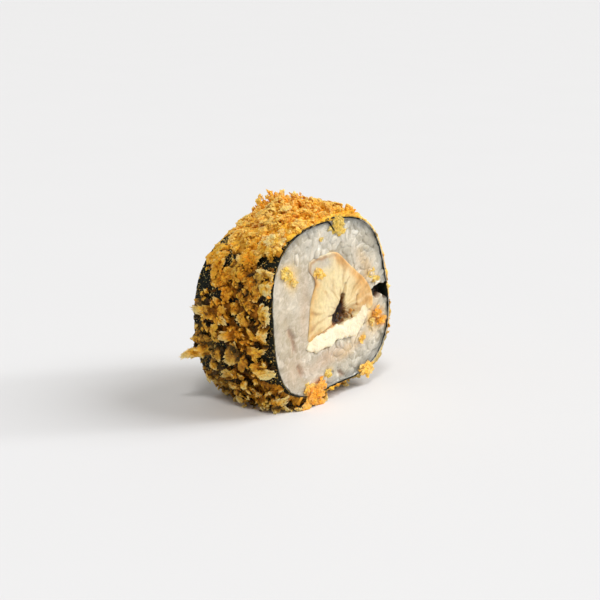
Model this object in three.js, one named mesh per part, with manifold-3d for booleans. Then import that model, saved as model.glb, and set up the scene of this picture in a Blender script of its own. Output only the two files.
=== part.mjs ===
// One thick slice of a tempura sushi roll, standing on its crumbed side.
// A sheet of nori is wound once round sushi rice, a piece of banana and a strip of cream cheese. The roll
// was coated in panko crumbs, fried and sliced, so both ends are flat knife cuts that show every layer.
// Units are millimetres and +Z is up. The roll's axis runs along Y, and the best cut face looks along -Y.
import * as THREE from "three";
import { mergeVertices } from "three/addons/utils/BufferGeometryUtils.js";
import { ImprovedNoise } from "three/addons/math/ImprovedNoise.js";
import Module from "manifold-3d";

const wasm = await Module();
wasm.setup();

// ---------------------------------------------------------------- driving sizes
const LENGTH = 27.2; // between the two knife cuts
const SHOWN_FACE = -LENGTH / 2;
const NORI_THICKNESS = 0.5;
const FIT_GAP = 0.3; // between pieces that touch in the real roll
const FLOOR = 0; // the crumbs under the roll are pressed flat at this height

// The nori's middle line at each cut: a circle pressed towards a square by a few waves round it.
// Each wave is [waves per turn, height, angle of its first crest in degrees].
const SHOWN_CUT = {
  centre: [0.6, 26.6],
  radius: 25.4,
  waves: [
    [2, 0.92, -20],
    [3, 0.62, -19],
    [4, 1.46, -39],
  ],
};
const FAR_CUT = {
  centre: [0.3, 24.2],
  radius: 24.7,
  waves: [
    [2, 1.2, 13],
    [3, 0.7, -33],
    [4, 1.2, -36],
  ],
};

// The sheet starts tucked into the rice at the top, goes once round and overlaps its own start.
const SEAM_ANGLE = 86; // degrees from +X towards +Z
const TUCK = { depth: 3.2, turn: 9 };
const OVERLAP_TURN = 15;
const LAP_RISE = NORI_THICKNESS + FIT_GAP + 0.1; // of the outer end over the start

// The strip of cream cheese lies under the banana and climbs a little from left to right.
const CHEESE = { left: [-12, 15.6], right: [16.6, 21.2], halfThickness: 2.4, taper: 0.45, sway: 0.5 };

// The lump of soft banana, cut across, with the dark hollow of its seeds at each cut.
const BANANA_CENTRE = [4.6, 30.2];
const BANANA_POINTS = [
  [2.0, 18.6],
  [12.0, 20.6],
  [19.6, 23.4],
  [18.4, 30.2],
  [8.8, 36.7],
  [2.2, 41.6],
  [-7.6, 40.9],
  [-9.0, 38.2],
  [-7.2, 33.8],
  [-8.8, 26.5],
  [-9.2, 19.0],
];
const BANANA_SHRINK = 0.03; // from the shown cut to the far one
const SEED_HOLLOW = { centre: [5.0, 24.6], size: [2.1, 1.8, 3.4] };

// Cooked short grains at true size. The packed core stops just short of each cut.
const GRAIN = { length: 6.4, width: 2.9, spacing: 5.5 };
const GROOVE_DEPTH = 0.7; // how far the core lies behind the cut grains
const RICE_POCKET = { centre: [22.6, 27.4], size: [2.9, 2.6, 1.7] }; // a hole left beside the nori

// The panko crust's thickness round the roll: [angle in degrees, thickness].
const COAT_THICKNESS = [
  [0, 0.9],
  [45, 1.1],
  [75, 2.3],
  [97, 4.0],
  [115, 2.9],
  [140, 0.9],
  [180, 1.6],
  [225, 2.1],
  [270, 2.6],
  [310, 2.2],
  [335, 1.1],
  [360, 0.9],
];
const COAT_PATCH = 7.5; // from one bare patch of nori to the next
const COAT_CRAG = 3.1; // from one crag to the next
const CRUST_OVERHANG = 0.25; // past the knife cuts
const BARE_RIM = [0.6, 3.4]; // on the sides the crumbs thin out this far from the shown cut

// Crumbs that stand out of the crust: angle, place along the roll, size, and stretch.
const TALL_CRUMBS = [
  [92, -4, 5.4, [1.1, 1.1, 1.2]],
  [94, 0.5, 5.8, [1.15, 1.1, 1.1]],
  [97, 5, 5.8, [1.2, 1, 1.1]],
  [98, 9, 5.6, [1.25, 0.9, 1.1]],
  [106, 2.5, 5.0, [0.9, 1.2, 1.3]],
  [117, 7.5, 4.8, [1.0, 1, 1.1]],
  [84, 7, 5.0, [1.0, 1, 1.2]],
  [62, -8, 4.5, [0.8, 1.1, 1.1]],
  [199, 11.4, 4.6, [2.3, 0.7, 0.6]],
  [214, 2, 4.8, [0.8, 1.5, 0.9]],
  [246, -11.4, 4.6, [0.9, 1.1, 1.5]],
  [316, -11, 4.5, [0.8, 1.1, 1.3]],
];
const CRUMB = { width: 3.6, rows: 5, columns: 24 }; // rows along the roll, columns round it
const BIG_CRUMB = 4.4; // wider crumbs have twenty faces, the others eight

// How many flat steps each outline is made of.
const STEPS = { sheet: 50, rice: 40, banana: 30, cheese: 14, coatRound: 64, coatAlong: 13 };

const { degToRad, radToDeg, euclideanModulo, lerp, smoothstep, seededRandom } = THREE.MathUtils;

// The next seeded random number between two limits.
const between = (low, high) => lerp(low, high, seededRandom());

// A point of the nori's middle line, `lift` outside it, at an angle from +X towards +Z.
function wrapPoint(angle, y, lift = 0) {
  const along = (y - SHOWN_FACE) / LENGTH;
  const onCut = ({ centre, radius, waves }) => {
    const wavy = waves.reduce(
      (r, [count, height, crest]) => r + height * Math.cos(count * (angle - degToRad(crest))),
      radius + lift,
    );
    return [centre[0] + wavy * Math.cos(angle), centre[1] + wavy * Math.sin(angle)];
  };
  const near = onCut(SHOWN_CUT);
  const far = onCut(FAR_CUT);
  return new THREE.Vector3(lerp(near[0], far[0], along), y, lerp(near[1], far[1], along));
}

// ---------------------------------------------------------------- solids from loops
// Closed skin over a stack of equal loops, which turn from +X towards +Z, with flat ends.
function loft(loops) {
  const count = loops[0].length;
  const triangles = [];
  const quad = (a, b, c, d) => triangles.push(a, b, c, a, c, d);
  for (let row = 0; row + 1 < loops.length; row += 1) {
    for (let i = 0; i < count; i += 1) {
      const next = (i + 1) % count;
      quad(row * count + i, row * count + next, (row + 1) * count + next, (row + 1) * count + i);
    }
  }
  const last = (loops.length - 1) * count;
  const flat = loops[0].map((p) => new THREE.Vector2(p.x, p.z));
  for (const [a, b, c] of THREE.ShapeUtils.triangulateShape(flat, [])) {
    triangles.push(a, c, b, last + a, last + b, last + c);
  }
  return solidOf(loops.flat(), triangles);
}

// A manifold-3d solid from points and triangles, turned to face outwards.
function solidOf(points, triangles) {
  const made = new wasm.Manifold(
    new wasm.Mesh({
      numProp: 3,
      vertProperties: new Float32Array(points.flatMap((p) => p.toArray())),
      triVerts: new Uint32Array(triangles),
    }),
  );
  if (made.volume() > 0) return made;
  for (let i = 0; i < triangles.length; i += 3) {
    [triangles[i + 1], triangles[i + 2]] = [triangles[i + 2], triangles[i + 1]];
  }
  return solidOf(points, triangles);
}

// A manifold-3d solid from a three.js geometry.
function solidFrom(geometry) {
  const bare = new THREE.BufferGeometry();
  bare.setAttribute("position", geometry.getAttribute("position"));
  if (geometry.index) bare.setIndex(geometry.index);
  const merged = mergeVertices(bare, 1e-4);
  const at = merged.getAttribute("position");
  const points = Array.from({ length: at.count }, (_, i) => new THREE.Vector3().fromBufferAttribute(at, i));
  const index = Array.from(merged.index.array);
  const triangles = [];
  for (let i = 0; i < index.length; i += 3) {
    const [a, b, c] = index.slice(i, i + 3);
    if (a !== b && b !== c && a !== c) triangles.push(a, b, c);
  }
  return solidOf(points, triangles);
}

// The largest body of a solid, as a named mesh. Loose scraps left by the cuts are dropped.
function meshOf(name, solid, colour, roughness) {
  const bodies = solid.decompose().sort((a, b) => b.volume() - a.volume());
  const { vertProperties, triVerts } = bodies[0].getMesh();
  const geometry = new THREE.BufferGeometry();
  geometry.setAttribute("position", new THREE.BufferAttribute(new Float32Array(vertProperties), 3));
  geometry.setIndex(new THREE.BufferAttribute(new Uint32Array(triVerts), 1));
  geometry.computeVertexNormals();
  const mesh = new THREE.Mesh(geometry, new THREE.MeshStandardMaterial({ color: colour, roughness }));
  mesh.name = name;
  return mesh;
}

// A box between two heights along the roll, or below the floor, to trim with.
function slab(width, low, high, axis) {
  const size = new THREE.Vector3(width, width, width);
  const centre = new THREE.Vector3();
  size[axis] = high - low;
  centre[axis] = (high + low) / 2;
  const box = new THREE.BoxGeometry(size.x, size.y, size.z);
  return solidFrom(box.translate(centre.x, centre.y, centre.z));
}

const joined = (solids) => solids.reduce((all, solid) => all.add(solid));

// Stations along the roll where loops are laid, a little past each cut if wanted.
function stations(count, past = 0) {
  const half = LENGTH / 2 + past;
  return Array.from({ length: count }, (_, i) => lerp(-half, half, i / (count - 1)));
}

// ---------------------------------------------------------------- nori
// The sheet starts tucked into the rice at the top, goes once round and overlaps its own start.

// Middle line of the sheet at one station, from `start` degrees past its tucked end to its outer end.
function sheetLine(y, start = 0) {
  const turn = 360 + OVERLAP_TURN;
  return Array.from({ length: STEPS.sheet + 1 }, (_, i) => {
    const gone = lerp(start, turn, i / STEPS.sheet);
    const tucked = -TUCK.depth * (1 - smoothstep(gone, 0, TUCK.turn));
    const lapped = LAP_RISE * smoothstep(gone, 360 - TUCK.turn, 360);
    return wrapPoint(degToRad(SEAM_ANGLE + gone), y, tucked + lapped);
  });
}

// The sheet as a closed loop of the given thickness round its middle line.
function sheetLoop(y, thickness, start = 0) {
  const line = sheetLine(y, start);
  const side = (sign) =>
    line.map((p, i) => {
      const ahead = line[Math.min(i + 1, line.length - 1)];
      const behind = line[Math.max(i - 1, 0)];
      const along = new THREE.Vector2(ahead.x - behind.x, ahead.z - behind.z).normalize();
      const off = (sign * thickness) / 2;
      return new THREE.Vector3(p.x + along.y * off, y, p.z - along.x * off);
    });
  return [...side(1), ...side(-1).reverse()];
}

const noriSheet = loft(stations(3).map((y) => sheetLoop(y, NORI_THICKNESS)));
const roomThickness = NORI_THICKNESS + 2 * FIT_GAP;
const noriRoom = loft(stations(4, 3).map((y) => sheetLoop(y, roomThickness, -1)));

// All that lies inside the middle line of the sheet's outermost turn, to keep crumbs out of the rice.
const insideSheet = loft(stations(4, 8).map((y) => sheetLine(y, OVERLAP_TURN)));

// ---------------------------------------------------------------- cream cheese

function cheeseLoop(y, grown) {
  const { left, right, halfThickness, taper, sway } = CHEESE;
  const side = (sign) =>
    Array.from({ length: STEPS.cheese + 1 }, (_, i) => {
      const along = i / STEPS.cheese;
      const blunt = Math.sqrt(1 - Math.pow(Math.abs(2 * along - 1), 5));
      const half = halfThickness * blunt * lerp(taper, 1, smoothstep(along, 0, 0.3)) + grown;
      const middle = lerp(left[1], right[1], along) + sway * Math.sin(y / 6);
      return new THREE.Vector3(lerp(left[0] - grown, right[0] + grown, along), y, middle + sign * half);
    });
  const under = side(-1);
  const over = side(1).reverse();
  return grown > 0 ? [...under, ...over] : [...under, ...over.slice(1, -1)];
}

const creamCheese = loft(stations(5).map((y) => cheeseLoop(y, 0)));
const cheeseRoom = loft(stations(5, 3).map((y) => cheeseLoop(y, FIT_GAP)));

// ---------------------------------------------------------------- banana

function bananaLoop(y, grown) {
  const shrink = 1 - BANANA_SHRINK * ((y - SHOWN_FACE) / LENGTH);
  const corners = BANANA_POINTS.map(([x, z]) => new THREE.Vector3(x, y, z));
  const curve = new THREE.CatmullRomCurve3(corners, true, "centripetal");
  return Array.from({ length: STEPS.banana }, (_, i) => {
    const p = curve.getPoint(i / STEPS.banana);
    const out = new THREE.Vector2(p.x - BANANA_CENTRE[0], p.z - BANANA_CENTRE[1]);
    out.setLength(out.length() * shrink + grown);
    return new THREE.Vector3(BANANA_CENTRE[0] + out.x, y, BANANA_CENTRE[1] + out.y);
  });
}

function seedHollow(y) {
  const dimple = new THREE.SphereGeometry(1, 10, 8).scale(...SEED_HOLLOW.size);
  return solidFrom(dimple.translate(SEED_HOLLOW.centre[0], y, SEED_HOLLOW.centre[1]));
}

const bananaRoom = loft(stations(4, 3).map((y) => bananaLoop(y, 1.2 * FIT_GAP)));
const banana = loft(stations(4).map((y) => bananaLoop(y, 0)))
  .subtract(cheeseRoom)
  .subtract(seedHollow(SHOWN_FACE))
  .subtract(seedHollow(-SHOWN_FACE));

// ---------------------------------------------------------------- rice

function ringLoop(y, lift) {
  return Array.from({ length: STEPS.rice }, (_, i) => wrapPoint((2 * Math.PI * i) / STEPS.rice, y, lift));
}

function riceGrain(centre) {
  const grain = new THREE.SphereGeometry(0.5, 5, 3);
  const plump = between(0.88, 1.12);
  grain.scale(GRAIN.width * plump, GRAIN.length * between(0.85, 1.1), GRAIN.width * plump);
  grain.rotateZ(between(-0.5, 0.5) * Math.PI * 0.4); // dips a little into the cut
  grain.rotateX(Math.PI / 2);
  grain.rotateY(seededRandom() * Math.PI);
  return solidFrom(grain.translate(centre.x, centre.y, centre.z));
}

// Grain centres: a staggered grid over one cut face, each moved by less than half a space.
function grainCentres(faceY) {
  const centres = [];
  const inward = -Math.sign(faceY);
  const rowHeight = GRAIN.spacing * 0.87;
  for (let row = 0; row * rowHeight < 52; row += 1) {
    for (let column = -7; column <= 7; column += 1) {
      const x = (column + (row % 2) / 2 + between(-0.3, 0.3)) * GRAIN.spacing;
      const z = (row + between(-0.3, 0.3)) * rowHeight + 2;
      centres.push(new THREE.Vector3(x, faceY + inward * between(0.5, 1.1), z));
    }
  }
  return centres;
}

function makeRice() {
  seededRandom(11);
  const wrapped = stations(4, 3).map((y) => ringLoop(y, -FIT_GAP));
  const space = loft(wrapped).subtract(noriRoom).subtract(bananaRoom).subtract(cheeseRoom);
  const pocket = new THREE.SphereGeometry(1, 8, 6).scale(...RICE_POCKET.size);
  pocket.translate(RICE_POCKET.centre[0], SHOWN_FACE, RICE_POCKET.centre[1]);
  const pocketSolid = solidFrom(pocket);
  const core = space.intersect(slab(200, SHOWN_FACE + GROOVE_DEPTH, -SHOWN_FACE - GROOVE_DEPTH, "y"));
  const probe = new THREE.SphereGeometry(1.1, 4, 2);
  const grains = [SHOWN_FACE, -SHOWN_FACE]
    .flatMap((y) => grainCentres(y))
    .filter((p) => {
      const inside = space.intersect(solidFrom(probe.clone().translate(p.x, p.y, p.z)));
      return inside.volume() > 0.8;
    })
    .map((p) => riceGrain(p));
  const flush = space.intersect(slab(200, SHOWN_FACE, -SHOWN_FACE, "y"));
  return core.add(joined(grains).intersect(flush)).subtract(pocketSolid);
}

// ---------------------------------------------------------------- panko crust
// Rough crumbs fried onto the nori: heaped on top, patchy down the sides, pressed flat underneath.
const noise = new ImprovedNoise();
const noiseAt = (p, size, seed) => noise.noise(p.x / size + seed, p.y / size, p.z / size);

function plainThickness(angle) {
  const turned = euclideanModulo(radToDeg(angle), 360);
  const next = COAT_THICKNESS.findIndex(([at]) => at > turned);
  const [from, to] = COAT_THICKNESS.slice(next - 1, next + 1);
  return lerp(from[1], to[1], smoothstep(turned, from[0], to[0]));
}

// Height of the crust over the nori's middle line. Below zero the nori is bare.
function coatHeight(angle, y) {
  const onTop = smoothstep(Math.sin(angle), 0.55, 0.95);
  const plain = plainThickness(angle);
  const p = wrapPoint(angle, y);
  const covered = smoothstep(noiseAt(p, COAT_PATCH, 3.7) + 0.9 * onTop, -0.22, 0.06);
  const offRim = lerp(smoothstep(y - SHOWN_FACE, ...BARE_RIM), 1, onTop);
  const crags = 1 + 1.1 * noiseAt(p, COAT_CRAG, 9.1) + 0.5 * noiseAt(p, COAT_CRAG / 2, 5.3);
  return plain * covered * offRim * crags - 0.15 * (1 - covered * offRim);
}

function coatLoop(y) {
  return Array.from({ length: STEPS.coatRound }, (_, i) => {
    const even = (2 * Math.PI * i) / STEPS.coatRound;
    const angle = even + (1.6 / STEPS.coatRound) * noiseAt(wrapPoint(even, y), 1.7, 0.4);
    return wrapPoint(angle, y, coatHeight(angle, y));
  });
}

// A crumb: a lump of eight or twenty faces with its corners pulled in and out, then stretched out from
// the roll, along it and round it.
function crumb(angle, y, size, stretch) {
  const Lump = size > BIG_CRUMB ? THREE.IcosahedronGeometry : THREE.OctahedronGeometry;
  const lump = new Lump(size > BIG_CRUMB ? 0.5 : 0.55, 0);
  const merged = mergeVertices(lump.deleteAttribute("normal").deleteAttribute("uv"), 1e-4);
  const corners = merged.getAttribute("position");
  for (let i = 0; i < corners.count; i += 1) {
    const corner = new THREE.Vector3().fromBufferAttribute(corners, i);
    corner.multiplyScalar(between(0.7, 1.35));
    corners.setXYZ(i, corner.x, corner.y, corner.z);
  }
  merged.rotateX(seededRandom() * Math.PI);
  merged.rotateZ(seededRandom() * Math.PI);
  merged.scale(size * stretch[0], size * stretch[1], size * stretch[2]);
  merged.rotateX((between(-1, 1) * Math.PI) / 6);
  merged.rotateY(-angle);
  const lift = Math.max(0, coatHeight(angle, y)) * 0.8 + size * stretch[0] * 0.1;
  const at = wrapPoint(angle, y, lift);
  return solidFrom(merged.translate(at.x, y, at.z));
}

function makeCrumbs() {
  seededRandom(5);
  const crumbs = TALL_CRUMBS.map(([angle, y, size, stretch]) => crumb(degToRad(angle), y, size, stretch));
  for (let column = 0; column < CRUMB.columns; column += 1) {
    for (let row = 0; row < CRUMB.rows; row += 1) {
      const angle = ((column + between(-0.45, 0.45)) / CRUMB.columns) * 2 * Math.PI;
      const y = lerp(SHOWN_FACE, -SHOWN_FACE, (row + 0.5 + between(-0.45, 0.45)) / CRUMB.rows);
      const size = CRUMB.width * between(0.75, 1.3);
      const stretch = [between(0.6, 1), between(0.8, 1.5), between(0.8, 1.3)];
      if (coatHeight(angle, y) > 0.7) crumbs.push(crumb(angle, y, size, stretch));
    }
  }
  return joined(crumbs);
}

// The crust starts at the middle of the sheet, stands a little past the knife cuts and ends on the floor.
function makeCrumbedNori() {
  const reach = LENGTH / 2 + CRUST_OVERHANG;
  const crust = loft(stations(STEPS.coatAlong, 1).map(coatLoop))
    .add(makeCrumbs())
    .subtract(insideSheet)
    .intersect(slab(200, -reach, reach, "y"))
    .intersect(slab(200, FLOOR, 200, "z"));
  return noriSheet.add(crust);
}

// ---------------------------------------------------------------- the roll
const roll = new THREE.Group();
roll.name = "tempura_sushi_roll";
roll.add(meshOf("crumbed_nori", makeCrumbedNori(), 0xc98a34, 0.75));
roll.add(meshOf("rice", makeRice(), 0xd8d4c6, 0.35));
roll.add(meshOf("banana", banana, 0xefd58f, 0.4));
roll.add(meshOf("cream_cheese", creamCheese, 0xf7ecd0, 0.5));

// The origin is at the middle of the base.
const reach = new THREE.Box3().setFromObject(roll);
roll.position.set(-(reach.min.x + reach.max.x) / 2, -(reach.min.y + reach.max.y) / 2, -reach.min.z);

export default roll;
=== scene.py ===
"""One thick slice of a tempura sushi roll, standing on its crumbed side with a knife cut to the front.

All sizes are in millimetres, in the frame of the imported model, and become metres where a mesh is made.
The roll's axis runs along Y, the best cut looks along -Y and +Z is up.
"""

import bpy
import numpy as np
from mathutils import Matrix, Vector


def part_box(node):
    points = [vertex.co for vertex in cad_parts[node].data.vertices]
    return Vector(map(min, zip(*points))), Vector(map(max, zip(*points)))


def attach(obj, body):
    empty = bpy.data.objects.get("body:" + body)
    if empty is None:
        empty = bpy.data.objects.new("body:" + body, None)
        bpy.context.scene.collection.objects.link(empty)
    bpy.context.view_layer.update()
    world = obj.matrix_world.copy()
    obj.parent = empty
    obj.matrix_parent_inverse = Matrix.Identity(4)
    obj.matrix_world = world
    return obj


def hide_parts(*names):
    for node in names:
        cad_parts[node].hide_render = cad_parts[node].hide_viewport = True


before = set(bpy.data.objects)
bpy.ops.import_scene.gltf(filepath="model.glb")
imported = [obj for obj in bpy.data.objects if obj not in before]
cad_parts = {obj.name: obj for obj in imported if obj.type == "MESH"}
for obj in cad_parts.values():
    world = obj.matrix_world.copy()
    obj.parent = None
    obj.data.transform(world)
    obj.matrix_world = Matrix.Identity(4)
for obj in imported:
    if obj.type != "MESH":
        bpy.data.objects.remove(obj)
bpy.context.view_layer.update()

# ------------------------------------------------------------------------------------------- nori sheet
# The real sheet is pressed and roasted seaweed, about 0.4 mm thick once it softens, slightly wrinkled.
# It is wound once round the rice, with its start tucked in at the top and its outer end lapped over it.

LENGTH = 27.2  # between the two knife cuts
NEAR_CUT = -LENGTH / 2
FAR_CUT = LENGTH / 2
NORI_THICKNESS = 0.42
NORI_OVERHANG = 0.1  # past each cut
SEAM_ANGLE = 86.0  # degrees from +X towards +Z
TUCK_DEPTH, TUCK_TURN = 3.2, 9.0
LAP_TURN, LAP_RISE = 15.0, 0.7
NORI_COLOURS = ["090b08", "151911", "363c2a"]

# The frame's x = 0 is the middle of the whole slice. The cream cheese's left end is known in the maker's
# own x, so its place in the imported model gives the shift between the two.
CHEESE_LEFT = -12.0
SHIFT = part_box("cream_cheese")[0].x * 1000 - CHEESE_LEFT

# The nori's middle line at each cut: centre, mean radius, and waves of [count, height, crest in degrees].
CUTS = (
    ((0.6, 26.6), 25.4, ((2, 0.92, -20), (3, 0.62, -19), (4, 1.46, -39))),
    ((0.3, 24.2), 24.7, ((2, 1.2, 13), (3, 0.7, -33), (4, 1.2, -36))),
)

# The turn of the noise's lattice: about 40 degrees about (1, 1, 1).
NOISE_TURN = np.array([[0.844, -0.293, 0.449], [0.449, 0.844, -0.293], [-0.293, 0.449, 0.844]])


def towards(low, high, share):
    """The value a given share of the way from low to high."""
    return low + (high - low) * share


def eased(x, low, high):
    """0 below low, 1 above high, and a smooth S in between."""
    t = np.clip((x - low) / (high - low), 0, 1)
    return t * t * (3 - 2 * t)


def wrap_centre(y):
    """Centre of the nori's outline at a place along the roll, moving straight from one cut to the other."""
    share = (y - NEAR_CUT) / LENGTH
    return [towards(CUTS[0][0][k], CUTS[1][0][k], share) for k in (0, 1)]


def wrap_radius(angle, y):
    """Radius of the nori's middle line: a circle with cosine waves round it, blended between the cuts."""
    radii = []
    for _, mean, waves in CUTS:
        radii.append(mean + sum(h * np.cos(n * (angle - np.radians(crest))) for n, h, crest in waves))
    return towards(radii[0], radii[1], (y - NEAR_CUT) / LENGTH)


def on_wrap(angle, y, lift):
    """Points `lift` outside the nori's middle line, at an angle in radians and a place along the roll."""
    angle, y, lift = np.broadcast_arrays(angle, y, lift)
    x0, z0 = wrap_centre(y)
    radius = wrap_radius(angle, y) + lift
    return np.stack([x0 + radius * np.cos(angle), y, z0 + radius * np.sin(angle)], -1)


def off_wrap(points):
    """The angle and the lift of points, the other way round from on_wrap."""
    x0, z0 = wrap_centre(points[..., 1])
    dx, dz = points[..., 0] - x0, points[..., 2] - z0
    angle = np.arctan2(dz, dx)
    return angle, np.hypot(dx, dz) - wrap_radius(angle, points[..., 1])


def noise(points, size, seed):
    """Noise from -1 to 1: hashed random numbers on a lattice `size` apart, blended smoothly between them.

    The lattice is turned by NOISE_TURN, so that its rows don't show along the axes.
    """
    scaled = points @ NOISE_TURN / size + 0.37 * seed + 200
    corner = np.floor(scaled).astype(np.int64)
    f = scaled - corner
    f = f * f * (3 - 2 * f)
    total = 0.0
    for dx in (0, 1):
        for dy in (0, 1):
            for dz in (0, 1):
                h = (corner[..., 0] + dx) * 73856093 ^ (corner[..., 1] + dy) * 19349663
                h = (h ^ (corner[..., 2] + dz) * 83492791 ^ (seed + 1) * 2654435761) & 0xFFFFFFFF
                h = ((h ^ h >> 13) * 1274126177) & 0xFFFFFFFF
                value = ((h ^ h >> 16) & 0xFFFFFF) / 0x7FFFFF - 1
                weight = (f[..., 0] if dx else 1 - f[..., 0]) * (f[..., 1] if dy else 1 - f[..., 1])
                total = total + value * weight * (f[..., 2] if dz else 1 - f[..., 2])
    return total


def net(rows, columns, closed_rows=False, closed_columns=False):
    """Triangles between the neighbouring points of a grid, joined round where a direction is closed."""
    r, c = np.meshgrid(
        np.arange(rows if closed_rows else rows - 1),
        np.arange(columns if closed_columns else columns - 1),
        indexing="ij",
    )
    r2, c2 = (r + 1) % rows, (c + 1) % columns
    a, b = (r * columns + c).ravel(), (r * columns + c2).ravel()
    c, d = (r2 * columns + c2).ravel(), (r2 * columns + c).ravel()
    return np.concatenate([np.stack([a, b, c], -1), np.stack([a, c, d], -1)])


def linear(hex_colour):
    """An sRGB hex value as linear red, green and blue."""
    srgb = np.array([int(hex_colour[k : k + 2], 16) for k in (0, 2, 4)]) / 255
    return np.where(srgb <= 0.04045, srgb / 12.92, ((srgb + 0.055) / 1.055) ** 2.4)


def make_piece(name, points, triangles, material, node, tone=None, smooth=True):
    """One mesh object from points in mm, with its faces turned out, on the CAD body that it belongs to."""
    points = points.reshape(-1, 3)
    a, b, c = (points[triangles[:, k]] for k in (0, 1, 2))
    if np.einsum("ij,ij->", a, np.cross(b, c)) < 0:
        triangles = triangles[:, ::-1]
    mesh = bpy.data.meshes.new(name)
    mesh.vertices.add(len(points))
    mesh.vertices.foreach_set("co", ((points + [SHIFT, 0, 0]) / 1000).astype(np.float32).ravel())
    mesh.loops.add(triangles.size)
    mesh.loops.foreach_set("vertex_index", triangles.astype(np.int32).ravel())
    mesh.polygons.add(len(triangles))
    mesh.polygons.foreach_set("loop_start", np.arange(0, triangles.size, 3, dtype=np.int32))
    mesh.polygons.foreach_set("use_smooth", np.full(len(triangles), smooth))
    if tone is not None:
        colour = mesh.color_attributes.new("tone", "FLOAT_COLOR", "POINT")
        rgba = np.concatenate([tone.reshape(-1, 3), np.ones((len(points), 1))], 1)
        colour.data.foreach_set("color", rgba.astype(np.float32).ravel())
    mesh.update(calc_edges=True)
    mesh.materials.append(material)
    piece = bpy.data.objects.new(name, mesh)
    bpy.context.scene.collection.objects.link(piece)
    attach(piece, "root")
    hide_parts(node)


def add(material, kind, settings=None, inputs=None):
    """Adds a shader node, sets its settings, and fills its named or numbered inputs by value or link."""
    node = material.node_tree.nodes.new("ShaderNode" + kind)
    for key, value in (settings or {}).items():
        setattr(node, key, value)
    for key, value in (inputs or {}).items():
        if isinstance(value, bpy.types.NodeSocket):
            material.node_tree.links.new(value, node.inputs[key])
        else:
            node.inputs[key].default_value = value
    return node


def per_mm(size):
    """Texture scale on Object coordinates, which are in metres, for features `size` mm apart."""
    return 1000 / size


def new_finish(name, **shader):
    """A new material with a Principled shader whose own sockets hold the given constants."""
    material = bpy.data.materials.new(name)
    material.use_nodes = True
    bsdf = material.node_tree.nodes["Principled BSDF"]
    for key, value in shader.items():
        bsdf.inputs[key.replace("_", " ")].default_value = value
    return material, bsdf


def roasted_nori():
    """Roasted seaweed: nearly black green with paler flecks, finely crinkled, with a dull oily shine."""
    material, bsdf = new_finish("roasted_nori", Roughness=0.5, IOR=1.22)
    place = add(material, "TexCoord").outputs["Object"]
    fibres = add(material, "TexNoise", inputs={"Vector": place, "Scale": per_mm(0.9), "Detail": 6.0})
    flecks = add(material, "TexNoise", inputs={"Vector": place, "Scale": per_mm(0.35), "Detail": 3.0})
    ramp = add(material, "ValToRGB", inputs={"Fac": fibres.outputs["Fac"]})
    for stop, hex_colour in zip((0.3, 0.55, 0.78), NORI_COLOURS):
        at = ramp.color_ramp.elements.new(stop)
        at.color = (*linear(hex_colour), 1)
    ramp.color_ramp.elements.remove(ramp.color_ramp.elements[0])
    ramp.color_ramp.elements.remove(ramp.color_ramp.elements[-1])
    material.node_tree.links.new(ramp.outputs["Color"], bsdf.inputs["Base Color"])
    both = {0: fibres.outputs["Fac"], 1: flecks.outputs["Fac"]}
    height = add(material, "Math", {"operation": "ADD"}, both)
    bump = add(material, "Bump", inputs={"Strength": 0.6, "Distance": 0.0002, "Height": height.outputs[0]})
    material.node_tree.links.new(bump.outputs["Normal"], bsdf.inputs["Normal"])
    return material


def nori_sheet(along=900, across=54):
    """The sheet's outline, out along its outer side and back along its inner side, carried along the roll.

    The lift is -TUCK_DEPTH at the start, 0 round the rice and LAP_RISE at the end, plus small wrinkles.
    The edges at the two cuts are slightly torn.
    """
    gone = np.linspace(0, 360 + LAP_TURN, along)
    lift = -TUCK_DEPTH * (1 - eased(gone, 0, TUCK_TURN)) + LAP_RISE * eased(gone, 360 - TUCK_TURN, 360)
    angle = np.radians(SEAM_ANGLE + gone)
    y = np.linspace(NEAR_CUT - NORI_OVERHANG, FAR_CUT + NORI_OVERHANG, across)[:, None]
    middle = on_wrap(angle, y, lift)
    wrinkle = 0.1 * noise(middle, 2.6, 1) + 0.05 * noise(middle, 1.1, 2)
    torn = 0.12 * noise(middle, 0.8, 3) * (np.abs(y) > LENGTH / 2)
    sides = [on_wrap(angle, y + torn, lift + wrinkle + s * NORI_THICKNESS / 2) for s in (1, -1)]
    loop = np.concatenate([sides[0], sides[1][:, ::-1]], 1)
    ends = net(2, along)
    cap = np.where(ends < along, ends, 2 * along - 1 - (ends - along))
    last = (across - 1) * 2 * along
    walls = net(across, 2 * along, closed_columns=True)
    return loop, np.concatenate([walls, cap[:, ::-1], cap + last])


points, triangles = nori_sheet()
make_piece("nori_sheet", points, triangles, roasted_nori(), "crumbed_nori")

# ------------------------------------------------------------------------------------------ fried batter
# A thin tempura batter holds the breadcrumbs on the nori. It fries to a craggy, porous golden skin,
# heaped on top of the roll, patchy down its sides with bare nori between, and pressed flat underneath.

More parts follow.
